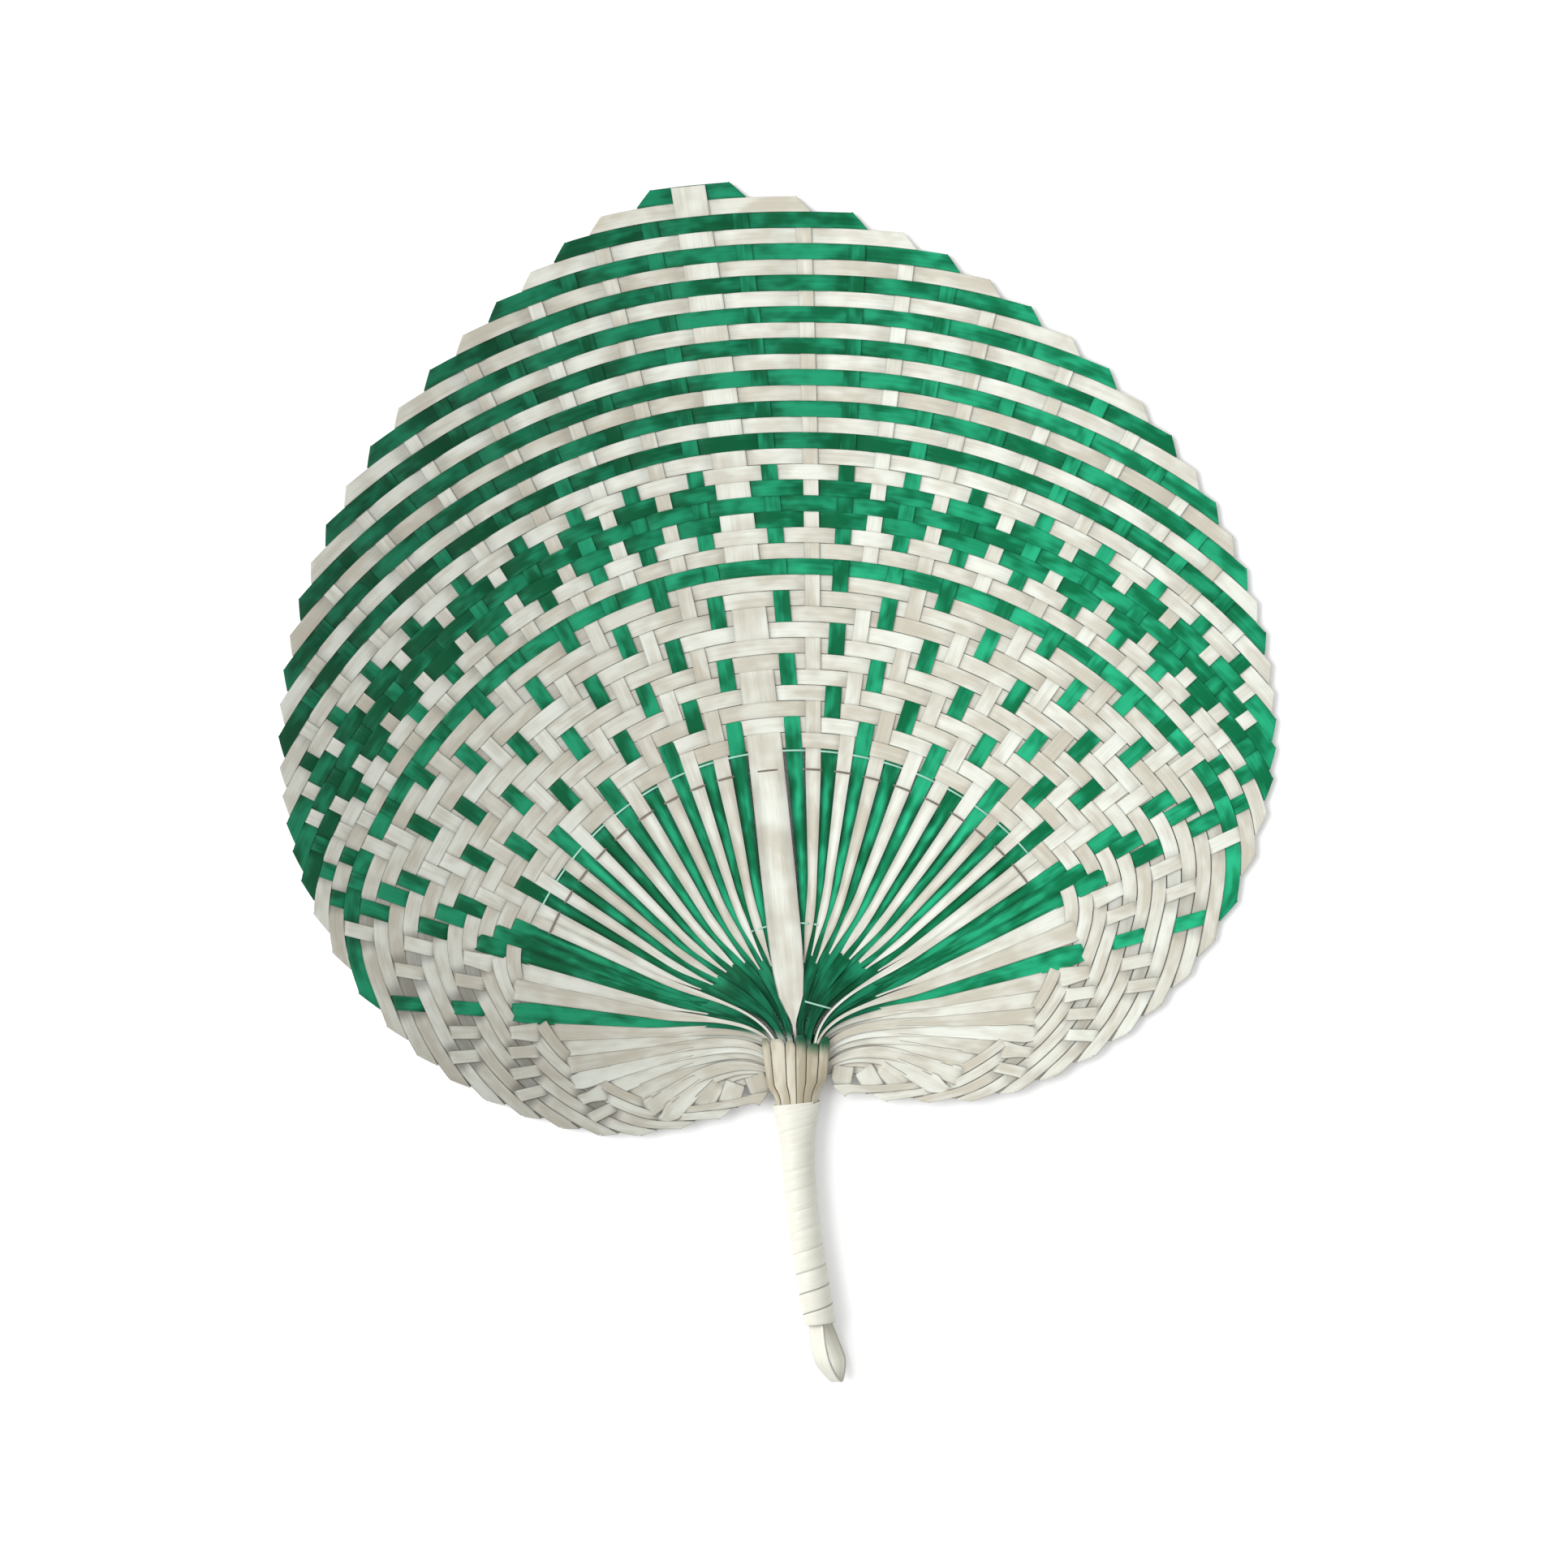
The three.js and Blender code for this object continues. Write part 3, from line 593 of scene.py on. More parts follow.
def uneven(p):
    """Where the uneven blade has a point: its tip leans to the left and its right half is wider."""
    rise = max(0, (p.y - LEAN_FROM) / (rim_radius(0) - LEAN_FROM))
    lean = TIP_LEAN * rise**2 * (1 - smooth(abs(angle_of(p)), *LEAN_FADE))
    wider = WIDER_SHARE * smooth(math.hypot(p.x, p.y), EVEN_REACH, UNEVEN_REACH)
    return p + Vector((wider * abs(p.x) - lean, 0, 0))


def bow_at(down):
    """How far the handle bows sideways at a place down from the neck."""
    return spline_at(GRIP_BOW, down) if down > 0 else 0.0


def lifts(crossings, crimp):
    """Places and heights along a list of (place, over): flat over a float, smooth between floats."""
    places = []
    for (a, over_a), (b, over_b) in zip(crossings, crossings[1:]):
        side_a = crimp if over_a else -crimp
        side_b = crimp if over_b else -crimp
        for t in CROSSING_STEPS:
            places.append((lerp(a, b, t), lerp(side_a, side_b, smooth(t, *FLOAT_ENDS))))
    place, over = crossings[-1]
    places.append((place, crimp if over else -crimp))
    return places


def neck_layer(strip):
    """Height of a ray in the gathered neck: dyed ends lie in front, with two natural ones on them."""
    if strip in WEDGE_EDGES:
        return EDGE_LAYER
    if strip == PLAIN_ROWS:
        return LINE_LAYER
    low, span = DYED_LAYERS if strip in GREEN_ROWS else NATURAL_LAYERS
    return low + span * ((strip * LAYER_ORDER) % LAYERS / (LAYERS - 1))


def taper(reach, narrow, start, end):
    """Share of the full width at a distance from the neck."""
    return lerp(narrow, 1.0, smooth(reach, start, end))


def uneven_reach(strip, first, step, unevenness, order):
    """Distance from the neck that differs from strip to strip."""
    return first + step * strip + unevenness * ((strip * order) % UNEVEN_CYCLE)


def gathered(strip, reach, width):
    """Width of a ray in the gathered neck, and how far it has come from its layer to the blade."""
    surface = smooth(reach, *SURFACE_REACH)
    if strip == PLAIN_ROWS:
        return width * taper(reach, *LINE_TAPER), surface
    if strip in GREEN_ROWS:
        flare = WEDGE_FLARE if strip in WEDGE else uneven_reach(strip, *DYED_FLARE)
        fanned = max(width, DYED_FAN * reach)
        width = lerp(fanned, width, smooth(reach, *around(flare, DYED_NARROWING)))
        return width, smooth(reach, *around(flare, DYED_RISING))
    if strip in WEDGE_EDGES:
        return width * taper(reach, *EDGE_TAPER), surface
    if strip < PLAIN_ROWS:
        dive = uneven_reach(strip, *NATURAL_DIVE)
        width *= taper(reach, NATURAL_TIP, *around(dive, NATURAL_WIDENING))
        return width, smooth(reach, *around(dive, NATURAL_RISING))
    return width, surface


def ray_sections(strip):
    """Sections of the right-hand ray, from inside the binding to its last crossing."""
    column = (strip - 1) // LAYERS
    share = (strip - 1) / (STRIP_COUNT - 1)
    layer = neck_layer(strip)
    open_lift = -OPEN_LIFT if strip in GREEN_ROWS else OPEN_LIFT
    bound_x = BOUND_INSET + (column + 0.5) * BOUND_PITCH
    neck = Vector((BOUND_INSET + (column + 0.5) * NECK_PITCH, -NECK_EXIT_DROP * share))
    crossings = [
        (CROSSINGS[strip, row], ray_is_over(strip, row)) for row in range(STRIP_COUNT, strip, -1)
    ]
    first = crossings[0][0] if crossings else LAST_RAY_SHARE
    length = (FOLDS[strip] - GATHERS[strip]).length
    start = min(OPEN_START / length, OPEN_START_SHARE * first)
    spread = ray_point(strip, start)
    points = []
    for y in (-BOUND_END, -BINDING_TOP, lerp(-BINDING_TOP, neck.y, 0.5)):
        x = lerp(bound_x, neck.x, smooth(y, -BINDING_TOP, neck.y))
        points.append((Vector((x, y)), NECK_HEIGHT + layer, BOUND_WIDTH, True))
    pull = GATHER_PULL * (spread - neck).length
    leave = Vector((0, 1)).lerp(Vector(LOBE_LEAVE), smooth(strip, LOBE_LEAVE_FROM, STRIP_COUNT))
    along = ray_along(strip)
    for k in range(NECK_STEPS):
        t = k / NECK_STEPS
        p = neck * ((1 + 2 * t) * (1 - t) ** 2) + spread * (t * t * (3 - 2 * t))
        p += leave * pull * t * (1 - t) ** 2 - along * pull * t * t * (1 - t)
        spreading = lerp(NECK_WIDTH, ray_width(strip, start), smooth(t, *NECK_WIDENING))
        width, surface = gathered(strip, p.length, spreading)
        points.append((p, blade_height(p) + lerp(layer, open_lift, surface), width, k == 0))
    for k in range(OPEN_STEPS):
        at = lerp(start, first, k / OPEN_STEPS)
        p = ray_point(strip, at)
        lift = open_lift * (1 - smooth(k / OPEN_STEPS, *OPEN_LIFT_END))
        points.append((p, blade_height(p) + lift, ray_width(strip, at), False))
    if crossings:
        for at, lift in lifts(crossings, sizes().crimp / MM):
            p = ray_point(strip, at)
            points.append((p, blade_height(p) + lift, ray_width(strip, at), False))
    sections = []
    for k, (p, z, width, bound) in enumerate(points):
        after = points[k + 1][0] if k + 1 < len(points) else FOLDS[strip]
        before = points[k - 1][0] if k else p - Vector((0, 1))
        t = (after - before).normalized()
        sections.append((Vector((p.x, p.y, z)), Vector((t.y, -t.x, 0)) * width, bound))
    return sections


def fold_sections(strip):
    """Sections of the right-hand fold, where the ray turns over and leaves as a row."""
    fold = FOLDS[strip]
    crimp = sizes().crimp / MM
    out = ray_along(strip)
    row = -row_direction(fold)
    crease = (out + row).normalized()
    away = Vector((-crease.y, crease.x))
    if away.dot(out) < 0:
        away = -away
    across = Vector((out.y, -out.x))
    longest = lerp(*LONGEST_CREASE, smooth(strip, *SHORT_CREASES))
    crease *= full_width(strip) * max(-longest, min(longest, 1 / crease.dot(across)))
    sections = []
    for k in range(FOLD_STEPS + 1):
        turn = math.pi * (k / FOLD_STEPS - 0.5)
        p = fold + away * crimp * math.cos(turn)
        z = blade_height(fold) + crimp * math.sin(turn)
        sections.append((Vector((p.x, p.y, z)), Vector((crease.x, crease.y, 0)), False))
    return sections


def row_sections(strip):
    """Sections of a row from the right fold to the left one."""
    edge = angle_of(FOLDS[strip])
    crossings = []
    for ray in range(1, strip):
        angle = angle_of(ray_point(ray, CROSSINGS[ray, strip]))
        crossings.append((angle, not ray_is_over(ray, strip)))
    rib = math.degrees(math.asin(RIB_FLAT_SHARE * sizes().rib_width / MM / row_radius(strip, 0)))
    under_rib = not ray_is_over(0, strip)
    walk = [(edge, True), *reversed(crossings), (rib, under_rib), (-rib, under_rib)]
    walk += [(-angle, over) for angle, over in crossings] + [(-edge, True)]
    sections = []
    # The two outermost places at each end are left to the folds
    for angle, lift in lifts(walk, sizes().crimp / MM)[2:-2]:
        p = polar(angle, row_radius(strip, angle))
        right = Vector((abs(p.x), p.y))
        along = -row_direction(right)
        if angle < 0:
            along.y = -along.y
        across = Vector((-along.y, along.x, 0)) * row_width(strip, right)
        sections.append((Vector((p.x, p.y, blade_height(p) + lift)), across, False))
    return sections


def strip_sections(strip):
    """Sections of a whole strip, and how high each lies in the weave, from -1 to 1."""
    right = ray_sections(strip) + fold_sections(strip)
    left = [(Vector((-m.x, m.y, m.z)), Vector((-a.x, a.y, a.z)), b) for m, a, b in reversed(right)]
    row = row_sections(strip)
    inner = ray_point(strip, CROSSINGS[strip, STRIP_COUNT]).length - WOVEN_MARGIN
    placed = []
    rises = []
    for k, (middle, across, bound) in enumerate(right + row + left):
        shift = Vector((bow_at(-middle.y) if bound else 0, 0, 0))
        placed.append((uneven(middle) + shift + FOCUS, across))
        woven = 0 <= k - len(right) < len(row) or middle.xy.length > inner
        rise = (middle.z - blade_height(middle.xy)) / (sizes().crimp / MM)
        rises.append(min(1.0, max(-1.0, rise)) if woven else 1.0)
    return placed, rises


def bent_sheet(name, sections, thickness, steps, crown=0.0, bevel=0.0, seed=0.0, rises=None):
    """A thin strip: a grid is bent along its sections, each (middle, across), then thickened.

    The rises, one for each section, say how high it lies in the weave.
    """
    last = len(sections) - 1
    bpy.ops.object.select_all(action="DESELECT")
    bpy.ops.mesh.primitive_grid_add(x_subdivisions=last, y_subdivisions=steps, size=1)
    piece = bpy.context.active_object
    piece.name = name
    mesh = piece.data
    mesh.name = name
    walk = [0.0]
    for (a, _), (b, _) in zip(sections, sections[1:]):
        walk.append(walk[-1] + (b - a).length)
    grid = [(round((v.co.x + 0.5) * last), v.co.y) for v in mesh.vertices]
    uv = mesh.uv_layers.active.data
    for loop in mesh.loops:
        column, side = grid[loop.vertex_index]
        uv[loop.index].uv = (walk[column] / MM_PER_CM + seed * SEED_STEP, side + 0.5)
    for vertex, (column, side) in zip(mesh.vertices, grid):
        middle, across = sections[column]
        before = sections[max(0, column - 1)][0]
        after = sections[min(last, column + 1)][0]
        normal = (after - before).cross(across).normalized()
        vertex.co = (middle + across * side + normal * crown * (1 - 4 * side * side)) * MM
    rise = mesh.attributes.new("rise", "FLOAT", "POINT")
    rise.data.foreach_set("value", [rises[column] if rises else 1.0 for column, _ in grid])
    thicken = piece.modifiers.new("Thickness", "SOLIDIFY")
    thicken.thickness = thickness
    thicken.offset = 0
    bpy.ops.object.modifier_apply(modifier=thicken.name)
    if bevel:
        ease = piece.modifiers.new("Eased edges", "BEVEL")
        ease.width = bevel
        ease.segments = 2
        ease.limit_method = "ANGLE"
        ease.angle_limit = math.radians(BEVEL_ANGLE)
        bpy.ops.object.modifier_apply(modifier=ease.name)
    face_out(piece)
    bpy.ops.object.shade_smooth_by_angle(angle=math.radians(SMOOTH_ANGLE))
    tone = mesh.attributes.new("tone", "FLOAT", "POINT")
    tone.data.foreach_set("value", [random.Random(name).random()] * len(mesh.vertices))
    return piece


def face_out(piece):
    """Turns a closed mesh outwards if it is inside out."""
    work = bmesh.new()
    work.from_mesh(piece.data)
    if work.calc_volume(signed=True) < 0:
        bmesh.ops.reverse_faces(work, faces=work.faces)
        work.to_mesh(piece.data)
    work.free()


def dress(piece, material, slot, *nodes):
    """Gives a piece its material and body, and hides the nodes that it stands for; the slot is not used."""
    piece.data.materials.clear()
    piece.data.materials.append(material)
    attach(piece, "root")
    if nodes:
        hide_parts(*nodes)


class Tree:
    """Short way to place and join nodes in a node tree."""

    def __init__(self, tree):
        self.tree = tree

    def add(self, kind, inputs=None, **settings):
        made = self.tree.nodes.new(kind)
        for key, value in settings.items():
            setattr(made, key, value)
        for key, value in (inputs or {}).items():
            self.feed(made.inputs[key], value)
        return made

    def feed(self, socket, value):
        if isinstance(value, bpy.types.NodeSocket):
            self.tree.links.new(value, socket)
        else:
            socket.default_value = value

    def math(self, operation, a, b=0.0):
        return self.add("ShaderNodeMath", {0: a, 1: b}, operation=operation).outputs[0]

    def ramp(self, value, low, high, to_low=0.0, to_high=1.0):
        inputs = {"Value": value, "From Min": low, "From Max": high, "To Min": to_low, "To Max": to_high}
        return self.add("ShaderNodeMapRange", inputs, interpolation_type="SMOOTHSTEP").outputs["Result"]

    def mix(self, factor, a, b, blend="MIX"):
        made = self.add("ShaderNodeMix", data_type="RGBA", blend_type=blend)
        for key, value in ((0, factor), (6, a), (7, b)):
            self.feed(made.inputs[key], value)
        return made.outputs[2]

    def shade(self, hue, factor):
        return self.mix(1.0, hue, factor, "MULTIPLY")

    def noise(self, vector, detail):
        inputs = {"Vector": vector, "Scale": 1.0, "Detail": detail, "Roughness": 0.6}
        return self.add("ShaderNodeTexNoise", inputs).outputs["Fac"]

    def strip_noise(self, u, v, along, across, detail):
        stretched = {"X": self.math("MULTIPLY", u, along), "Y": self.math("MULTIPLY", v, across)}
        return self.noise(self.add("ShaderNodeCombineXYZ", stretched).outputs[0], detail)


def split_bamboo_group():
    """Grain of split bamboo: fibres, streaks and mottling that is partly painted sheen and shade, painted
    shade along the edges of a strip and along both its flanks with a painted highlight down its middle, and a
    tone per strip.
    """
    found = bpy.data.node_groups.get("Split bamboo")
    if found:
        return found
    group = bpy.data.node_groups.new("Split bamboo", "ShaderNodeTree")
    for name, kind in (
        ("UV", "NodeSocketVector"),
        ("Light", "NodeSocketColor"),
        ("Dark", "NodeSocketColor"),
        ("Tone", "NodeSocketFloat"),
        ("Mottle and sheen", "NodeSocketFloat"),
        ("Edges", "NodeSocketFloat"),
        ("Ray shade", "NodeSocketFloat"),
    ):
        group.interface.new_socket(name, in_out="INPUT", socket_type=kind)
    for name, kind in (
        ("Color", "NodeSocketColor"),
        ("Roughness", "NodeSocketFloat"),
        ("Height", "NodeSocketFloat"),
    ):
        group.interface.new_socket(name, in_out="OUTPUT", socket_type=kind)
    t = Tree(group)
    given = t.add("NodeGroupInput").outputs
    apart = t.add("ShaderNodeSeparateXYZ", {0: given["UV"]}).outputs
    u, v = apart["X"], apart["Y"]
    fibre = t.strip_noise(u, v, *FIBRE)
    streak = t.strip_noise(u, v, *STREAK)
    # Mottling: partly the bamboo's own colour, partly painted sheen and shade
    mottle_and_sheen = t.ramp(t.strip_noise(u, v, *MOTTLE_AND_SHEEN), *MOTTLE_AND_SHEEN_RAMP)
    share = t.math("MULTIPLY", streak, STREAK_SHARE)
    share = t.math("ADD", share, t.math("MULTIPLY", mottle_and_sheen, given["Mottle and sheen"]))
    share = t.math("ADD", share, t.math("MULTIPLY", given["Tone"], TONE_SHARE))
    hue = t.mix(t.ramp(share, *DARK_RAMP), given["Light"], given["Dark"])
    hue = t.shade(hue, t.ramp(fibre, *FIBRE_LINES))
    off = t.math("ABSOLUTE", t.math("SUBTRACT", v, 0.5))
    # Painted shade along the edges of the strip
    edge = t.math("MULTIPLY", t.ramp(off, *EDGE_SHADE_RAMP), given["Edges"])
    hue = t.shade(hue, t.math("SUBTRACT", 1.0, edge))
    # Painted shade along both flanks of the strip, with a painted highlight down its middle
    ray_shade = t.math("MULTIPLY", t.ramp(off, *RAY_SHADE_RAMP), given["Ray shade"])
    hue = t.shade(hue, t.math("ADD", 1.0, ray_shade))
    height = t.math("MULTIPLY", fibre, FIBRE_HEIGHT)
    height = t.math("ADD", height, t.math("MULTIPLY", streak, STREAK_HEIGHT))
    t.add("NodeGroupOutput", {"Color": hue, "Roughness": t.ramp(fibre, *SHEEN_RAMP), "Height": height})
    return group


def bamboo_material(name, light, dark, sheen_and_mottle, gloss, side_light=None, dye=None, seams=False):
    """A bamboo finish with the grain of split bamboo.

    Given a ramp across, it has painted light from the right: paler to the right and darker in the left lobe,
    with painted shade where a strip dips under another and a painted highlight where it lies over, and
    painted shade along both flanks of open rays with a painted highlight down their middles. With dye,
    given as (dyed, bare) colours or None for the grain's own, it is dyed above the neck only, with painted
    shade at the neck and the rim. Painted shade runs along the edges of its strips; with seams it shows
    only towards the lower end of the grip.
    """
    found = bpy.data.materials.get(name)
    if found:
        return found
    made = bpy.data.materials.new(name)
    made.use_nodes = True
    t = Tree(made.node_tree)
    shader = made.node_tree.nodes["Principled BSDF"]
    shader.inputs["Specular IOR Level"].default_value = gloss
    uv = t.add("ShaderNodeUVMap", uv_map="UVMap").outputs["UV"]
    tone = t.add("ShaderNodeAttribute", attribute_name="tone").outputs["Fac"]
    place = t.add("ShaderNodeTexCoord").outputs["Object"]
    apart = t.add("ShaderNodeSeparateXYZ", {0: place}).outputs
    focus = (FOCUS.x * MM, FOCUS.y * MM, (NECK_HEIGHT + FOCUS.z) * MM)
    down = t.math("SUBTRACT", focus[1], apart["Y"])
    far = t.add("ShaderNodeVectorMath", {0: place, 1: focus}, operation="DISTANCE").outputs["Value"]
    # Painted shade along the edges: on the grip towards its lower end, on dyed strips strongest near the
    # neck, elsewhere stronger low on the blade
    if seams:
        edges = t.ramp(down, *SEAM_EDGE_SHADE)
    elif dye:
        edges = t.ramp(far, *DYED_EDGE_SHADE)
    else:
        edges = t.ramp(down, *NATURAL_EDGE_SHADE)
    given = {"UV": uv, "Light": (*light, 1), "Dark": (*dark, 1), "Tone": tone, "Mottle and sheen": sheen_and_mottle}
    given |= {"Edges": edges, "Ray shade": 0.0}
    # Painted shade along both flanks of open rays, with a painted highlight down their middles
    if side_light:
        above = t.ramp(down, *RAY_SHADE_DOWN, DYED_RAY_SHADE if dye else NATURAL_RAY_SHADE, 0.0)
        given["Ray shade"] = t.ramp(far, *RAY_SHADE_REACH, above, 0.0)
    grain = t.add("ShaderNodeGroup", given, node_tree=split_bamboo_group()).outputs
    hue = grain["Color"]
    if side_light:
        # Painted shade where a strip dips under another and a painted highlight where it lies over
        rise = t.add("ShaderNodeAttribute", attribute_name="rise").outputs["Fac"]
        dip_shade = t.ramp(down, *DIP_SHADE_DOWN, t.ramp(apart["X"], *UPPER_DIP_SHADE), t.ramp(apart["X"], *LOBE_DIP_SHADE))
        hue = t.shade(hue, t.ramp(rise, -1.0, 1.0, dip_shade, OVER_HIGHLIGHT))
        # Painted light from the right, and painted shade in the left lobe
        hue = t.shade(hue, t.ramp(apart["X"], *side_light))
        hue = t.shade(hue, t.ramp(down, *LOBE_SHADE_DOWN, 1.0, t.ramp(apart["X"], *LOBE_SIDE_SHADE)))
    if dye:
        shade = t.ramp(far, *RIM_REACH, 1.0, t.ramp(apart["X"], *RIM_SHADE))
        shade = t.math("MULTIPLY", t.ramp(far, *NECK_SHADE), shade)
        ragged = t.math("ADD", down, t.math("MULTIPLY", grain["Height"], RAGGED_GRAIN))
        ragged = t.math("SUBTRACT", ragged, t.math("MULTIPLY", tone, RAGGED_TONE))
        slant = t.ramp(apart["X"], *around(focus[0], RAGGED_SIDES), *RAGGED_SLANT)
        ragged = t.math("ADD", ragged, slant)
        dyed, bare = dye
        below = t.ramp(ragged, -RAGGED_BLEND, RAGGED_BLEND)
        hue = t.mix(below, t.shade(dyed or hue, shade), bare or hue)
    t.feed(shader.inputs["Base Color"], hue)
    t.feed(shader.inputs["Roughness"], grain["Roughness"])
    bump = t.add("ShaderNodeBump", {"Height": grain["Height"], **GRAIN_BUMP})
    t.feed(shader.inputs["Normal"], bump.outputs["Normal"])
    return made


def natural_material():
    c = colours()
    return bamboo_material(
        "Natural bamboo", c.natural_light, c.natural_dark, sheen_and_mottle=0.4, gloss=0.2, side_light=NATURAL_SIDE_LIGHT
    )


def green_material():
    c = colours()
    dye = (None, (*c.natural_light, 1))
    return bamboo_material(
        "Green dyed bamboo", c.green_light, c.green_dark, sheen_and_mottle=0.55, gloss=0.08, side_light=GREEN_SIDE_LIGHT, dye=dye
    )


def slat_material():
    c = colours()
    dyed = tuple(lerp(a, b, SLAT_DYE) for a, b in zip(c.green_light, c.green_dark))
    return bamboo_material(
        "Neck bamboo", c.slat_light, c.slat_dark, sheen_and_mottle=0.6, gloss=0.2, dye=((*dyed, 1), None)
    )


def binding_material():
    c = colours()
    return bamboo_material(
        "Scraped bamboo", c.binding_light, c.binding_dark, sheen_and_mottle=0.2, gloss=0.3, seams=True
    )


def core_material():
    """Plain bamboo stick: its grain runs down the grip."""
    made = bpy.data.materials.new("Bamboo stick")
    made.use_nodes = True
    t = Tree(made.node_tree)
    shader = made.node_tree.nodes["Principled BSDF"]
    place = t.add("ShaderNodeTexCoord").outputs["Object"]
    turned = t.add("ShaderNodeMapping", {"Vector": place, "Scale": STICK_STRETCH}).outputs[0]
    grain = t.noise(turned, 3.0)
    c = colours()
    t.feed(shader.inputs["Base Color"], t.mix(grain, (*c.natural_dark, 1), (*c.binding_light, 1)))
    t.feed(shader.inputs["Roughness"], t.ramp(grain, *STICK_SHEEN))
    return made


def thread_material(name, base):
    """Twisted thread: darker and lighter turns along it."""
    made = bpy.data.materials.get(name)
    if made:
        return made
    made = bpy.data.materials.new(name)
    made.use_nodes = True
    t = Tree(made.node_tree)
    shader = made.node_tree.nodes["Principled BSDF"]
    uv = t.add("ShaderNodeUVMap", uv_map="UVMap").outputs["UV"]
    twist = t.add("ShaderNodeTexWave", {"Vector": uv, **THREAD_TWIST}).outputs["Fac"]
    hue = t.mix(twist, (*[THREAD_SHADE * c for c in base], 1), (*base, 1))
    t.feed(shader.inputs["Base Color"], hue)
    shader.inputs["Roughness"].default_value = 0.8
    return made


class FAN_OT_woven_strips(bpy.types.Operator):
    """Weave the strips of the blade, each one folded at both rims"""

    bl_idname = "fan.woven_strips"
    bl_label = "Woven Strips"

    def execute(self, context):
        thickness = sizes().strip_thickness
        for strip in range(1, STRIP_COUNT + 1):
            dyed = strip in GREEN_ROWS
            slot = "green_strip" if dyed else "natural_strip"
            sections, rises = strip_sections(strip)
            name = f"strip_{strip:02d}"
            piece = bent_sheet(name, sections, thickness, STRIP_STEPS, STRIP_CROWN, seed=strip, rises=rises)
            dress(piece, green_material() if dyed else natural_material(), slot, f"{slot}_{strip:02d}")
        return {"FINISHED"}


class FAN_OT_middle_rib(bpy.types.Operator):
    """Lay the wide rib up the middle of the blade"""

    bl_idname = "fan.middle_rib"
    bl_label = "Middle Rib"

    def execute(self, context):
        width = sizes().rib_width / MM
        crossings = [(row_radius(row, 0), ray_is_over(0, row)) for row in range(STRIP_COUNT, 0, -1)]
        points = RIB_TAIL + [(y, width, RIB_LIFT) for y in RIB_FULL]
        points += [(y, width, lift) for y, lift in lifts(crossings, RIB_CRIMP * sizes().crimp / MM)]
        points.append((rim_radius(0) - RIB_END_GAP, width, points[-1][2]))
        sections = []
        for y, across, lift in points:
            p = Vector((bow_at(-y), y))
            height = blade_height(p) if y > 0 else NECK_HEIGHT
            sections.append((uneven(Vector((p.x, p.y, height + lift))) + FOCUS, Vector((across, 0, 0))))
        thickness = RIB_THICKNESS * sizes().strip_thickness
        rib = bent_sheet("middle_rib", sections, thickness, RIB_STEPS, RIB_HOLLOW, seed=RIB_SEED)
        dress(rib, natural_material(), "natural_strip", "central_rib")
        return {"FINISHED"}


class FAN_OT_tie_threads(bpy.types.Operator):
    """Run the fine threads across the rays, over one and under the next"""

    bl_idname = "fan.tie_threads"
    bl_label = "Tie Threads"

    def execute(self, context):
        dark = thread_material("Tie thread", colours().thread)
        pale = thread_material("Pale thread", colours().pale_thread)
        width = sizes().thread
        depth = THREAD_DEPTH * width
        for name, radius, last, over_green in TIE_THREADS:
            crossings = []
            for ray in range(1, last + 1):
                share = solve(lambda s: ray_point(ray, s).length, radius, 0, 1)
                crossings.append((angle_of(ray_point(ray, share)), (ray in GREEN_ROWS) == over_green))
            walk = [(-a, over) for a, over in reversed(crossings)]
            walk += [(0.0, not over_green)] + crossings
            sections = []
            for angle, lift in lifts(walk, THREAD_LIFT):
                p = polar(angle, radius)
                side = p.normalized() * width / MM
                middle = Vector((p.x, p.y, blade_height(p) + lift))
                sections.append((uneven(middle) + FOCUS, Vector((side.x, side.y, 0))))
            piece = f"tie_thread_{name}"
            seed = THREAD_SEED + last
            thread = bent_sheet(piece, sections, depth, THREAD_STEPS, THREAD_CROWN, seed=seed)
            dress(thread, pale if over_green else dark, "natural_strip")
        sections = []
        across = Vector(NECK_THREAD_ACROSS) * width / MM
        top, drop = NECK_THREAD_LIFT
        for k in range(NECK_THREAD_STEPS + 1):
            t = k / NECK_THREAD_STEPS
            lift = top - drop * abs(2 * t - 1) ** 4
            p = Vector((lerp(*NECK_THREAD_X, t), lerp(*NECK_THREAD_Y, t), NECK_HEIGHT + lift))
            sections.append((p + FOCUS, across))
        seed = NECK_THREAD_SEED
        thread = bent_sheet("tie_thread_neck", sections, depth, THREAD_STEPS, THREAD_CROWN, seed=seed)
        dress(thread, pale, "natural_strip")
        return {"FINISHED"}


def neck_point(down, share, side):
    """Point on the neck's cover: flat over the gathered ends, rounded where it enters the grip."""
    settle = smooth(down, -SLAT_TOP, BINDING_TOP)
    bound_width = spline_at(GRIP_HALF_WIDTH, max(down, BINDING_TOP)) - SLAT_SUNK
    bound_height = spline_at(GRIP_HALF_HEIGHT, max(down, BINDING_TOP)) - SLAT_SUNK
    reach = lerp(2 * NECK_HALF_WIDTH[0][1], bound_width, settle)
    x = min(spline_at(NECK_HALF_WIDTH, down), NECK_FLANK * reach) * share
    z = side * lerp(NECK_HALF_HEIGHT, bound_height, settle) * math.sqrt(1 - (x / reach) ** 2)
    return Vector((x + bow_at(down), -down, NECK_HEIGHT + z)) + FOCUS


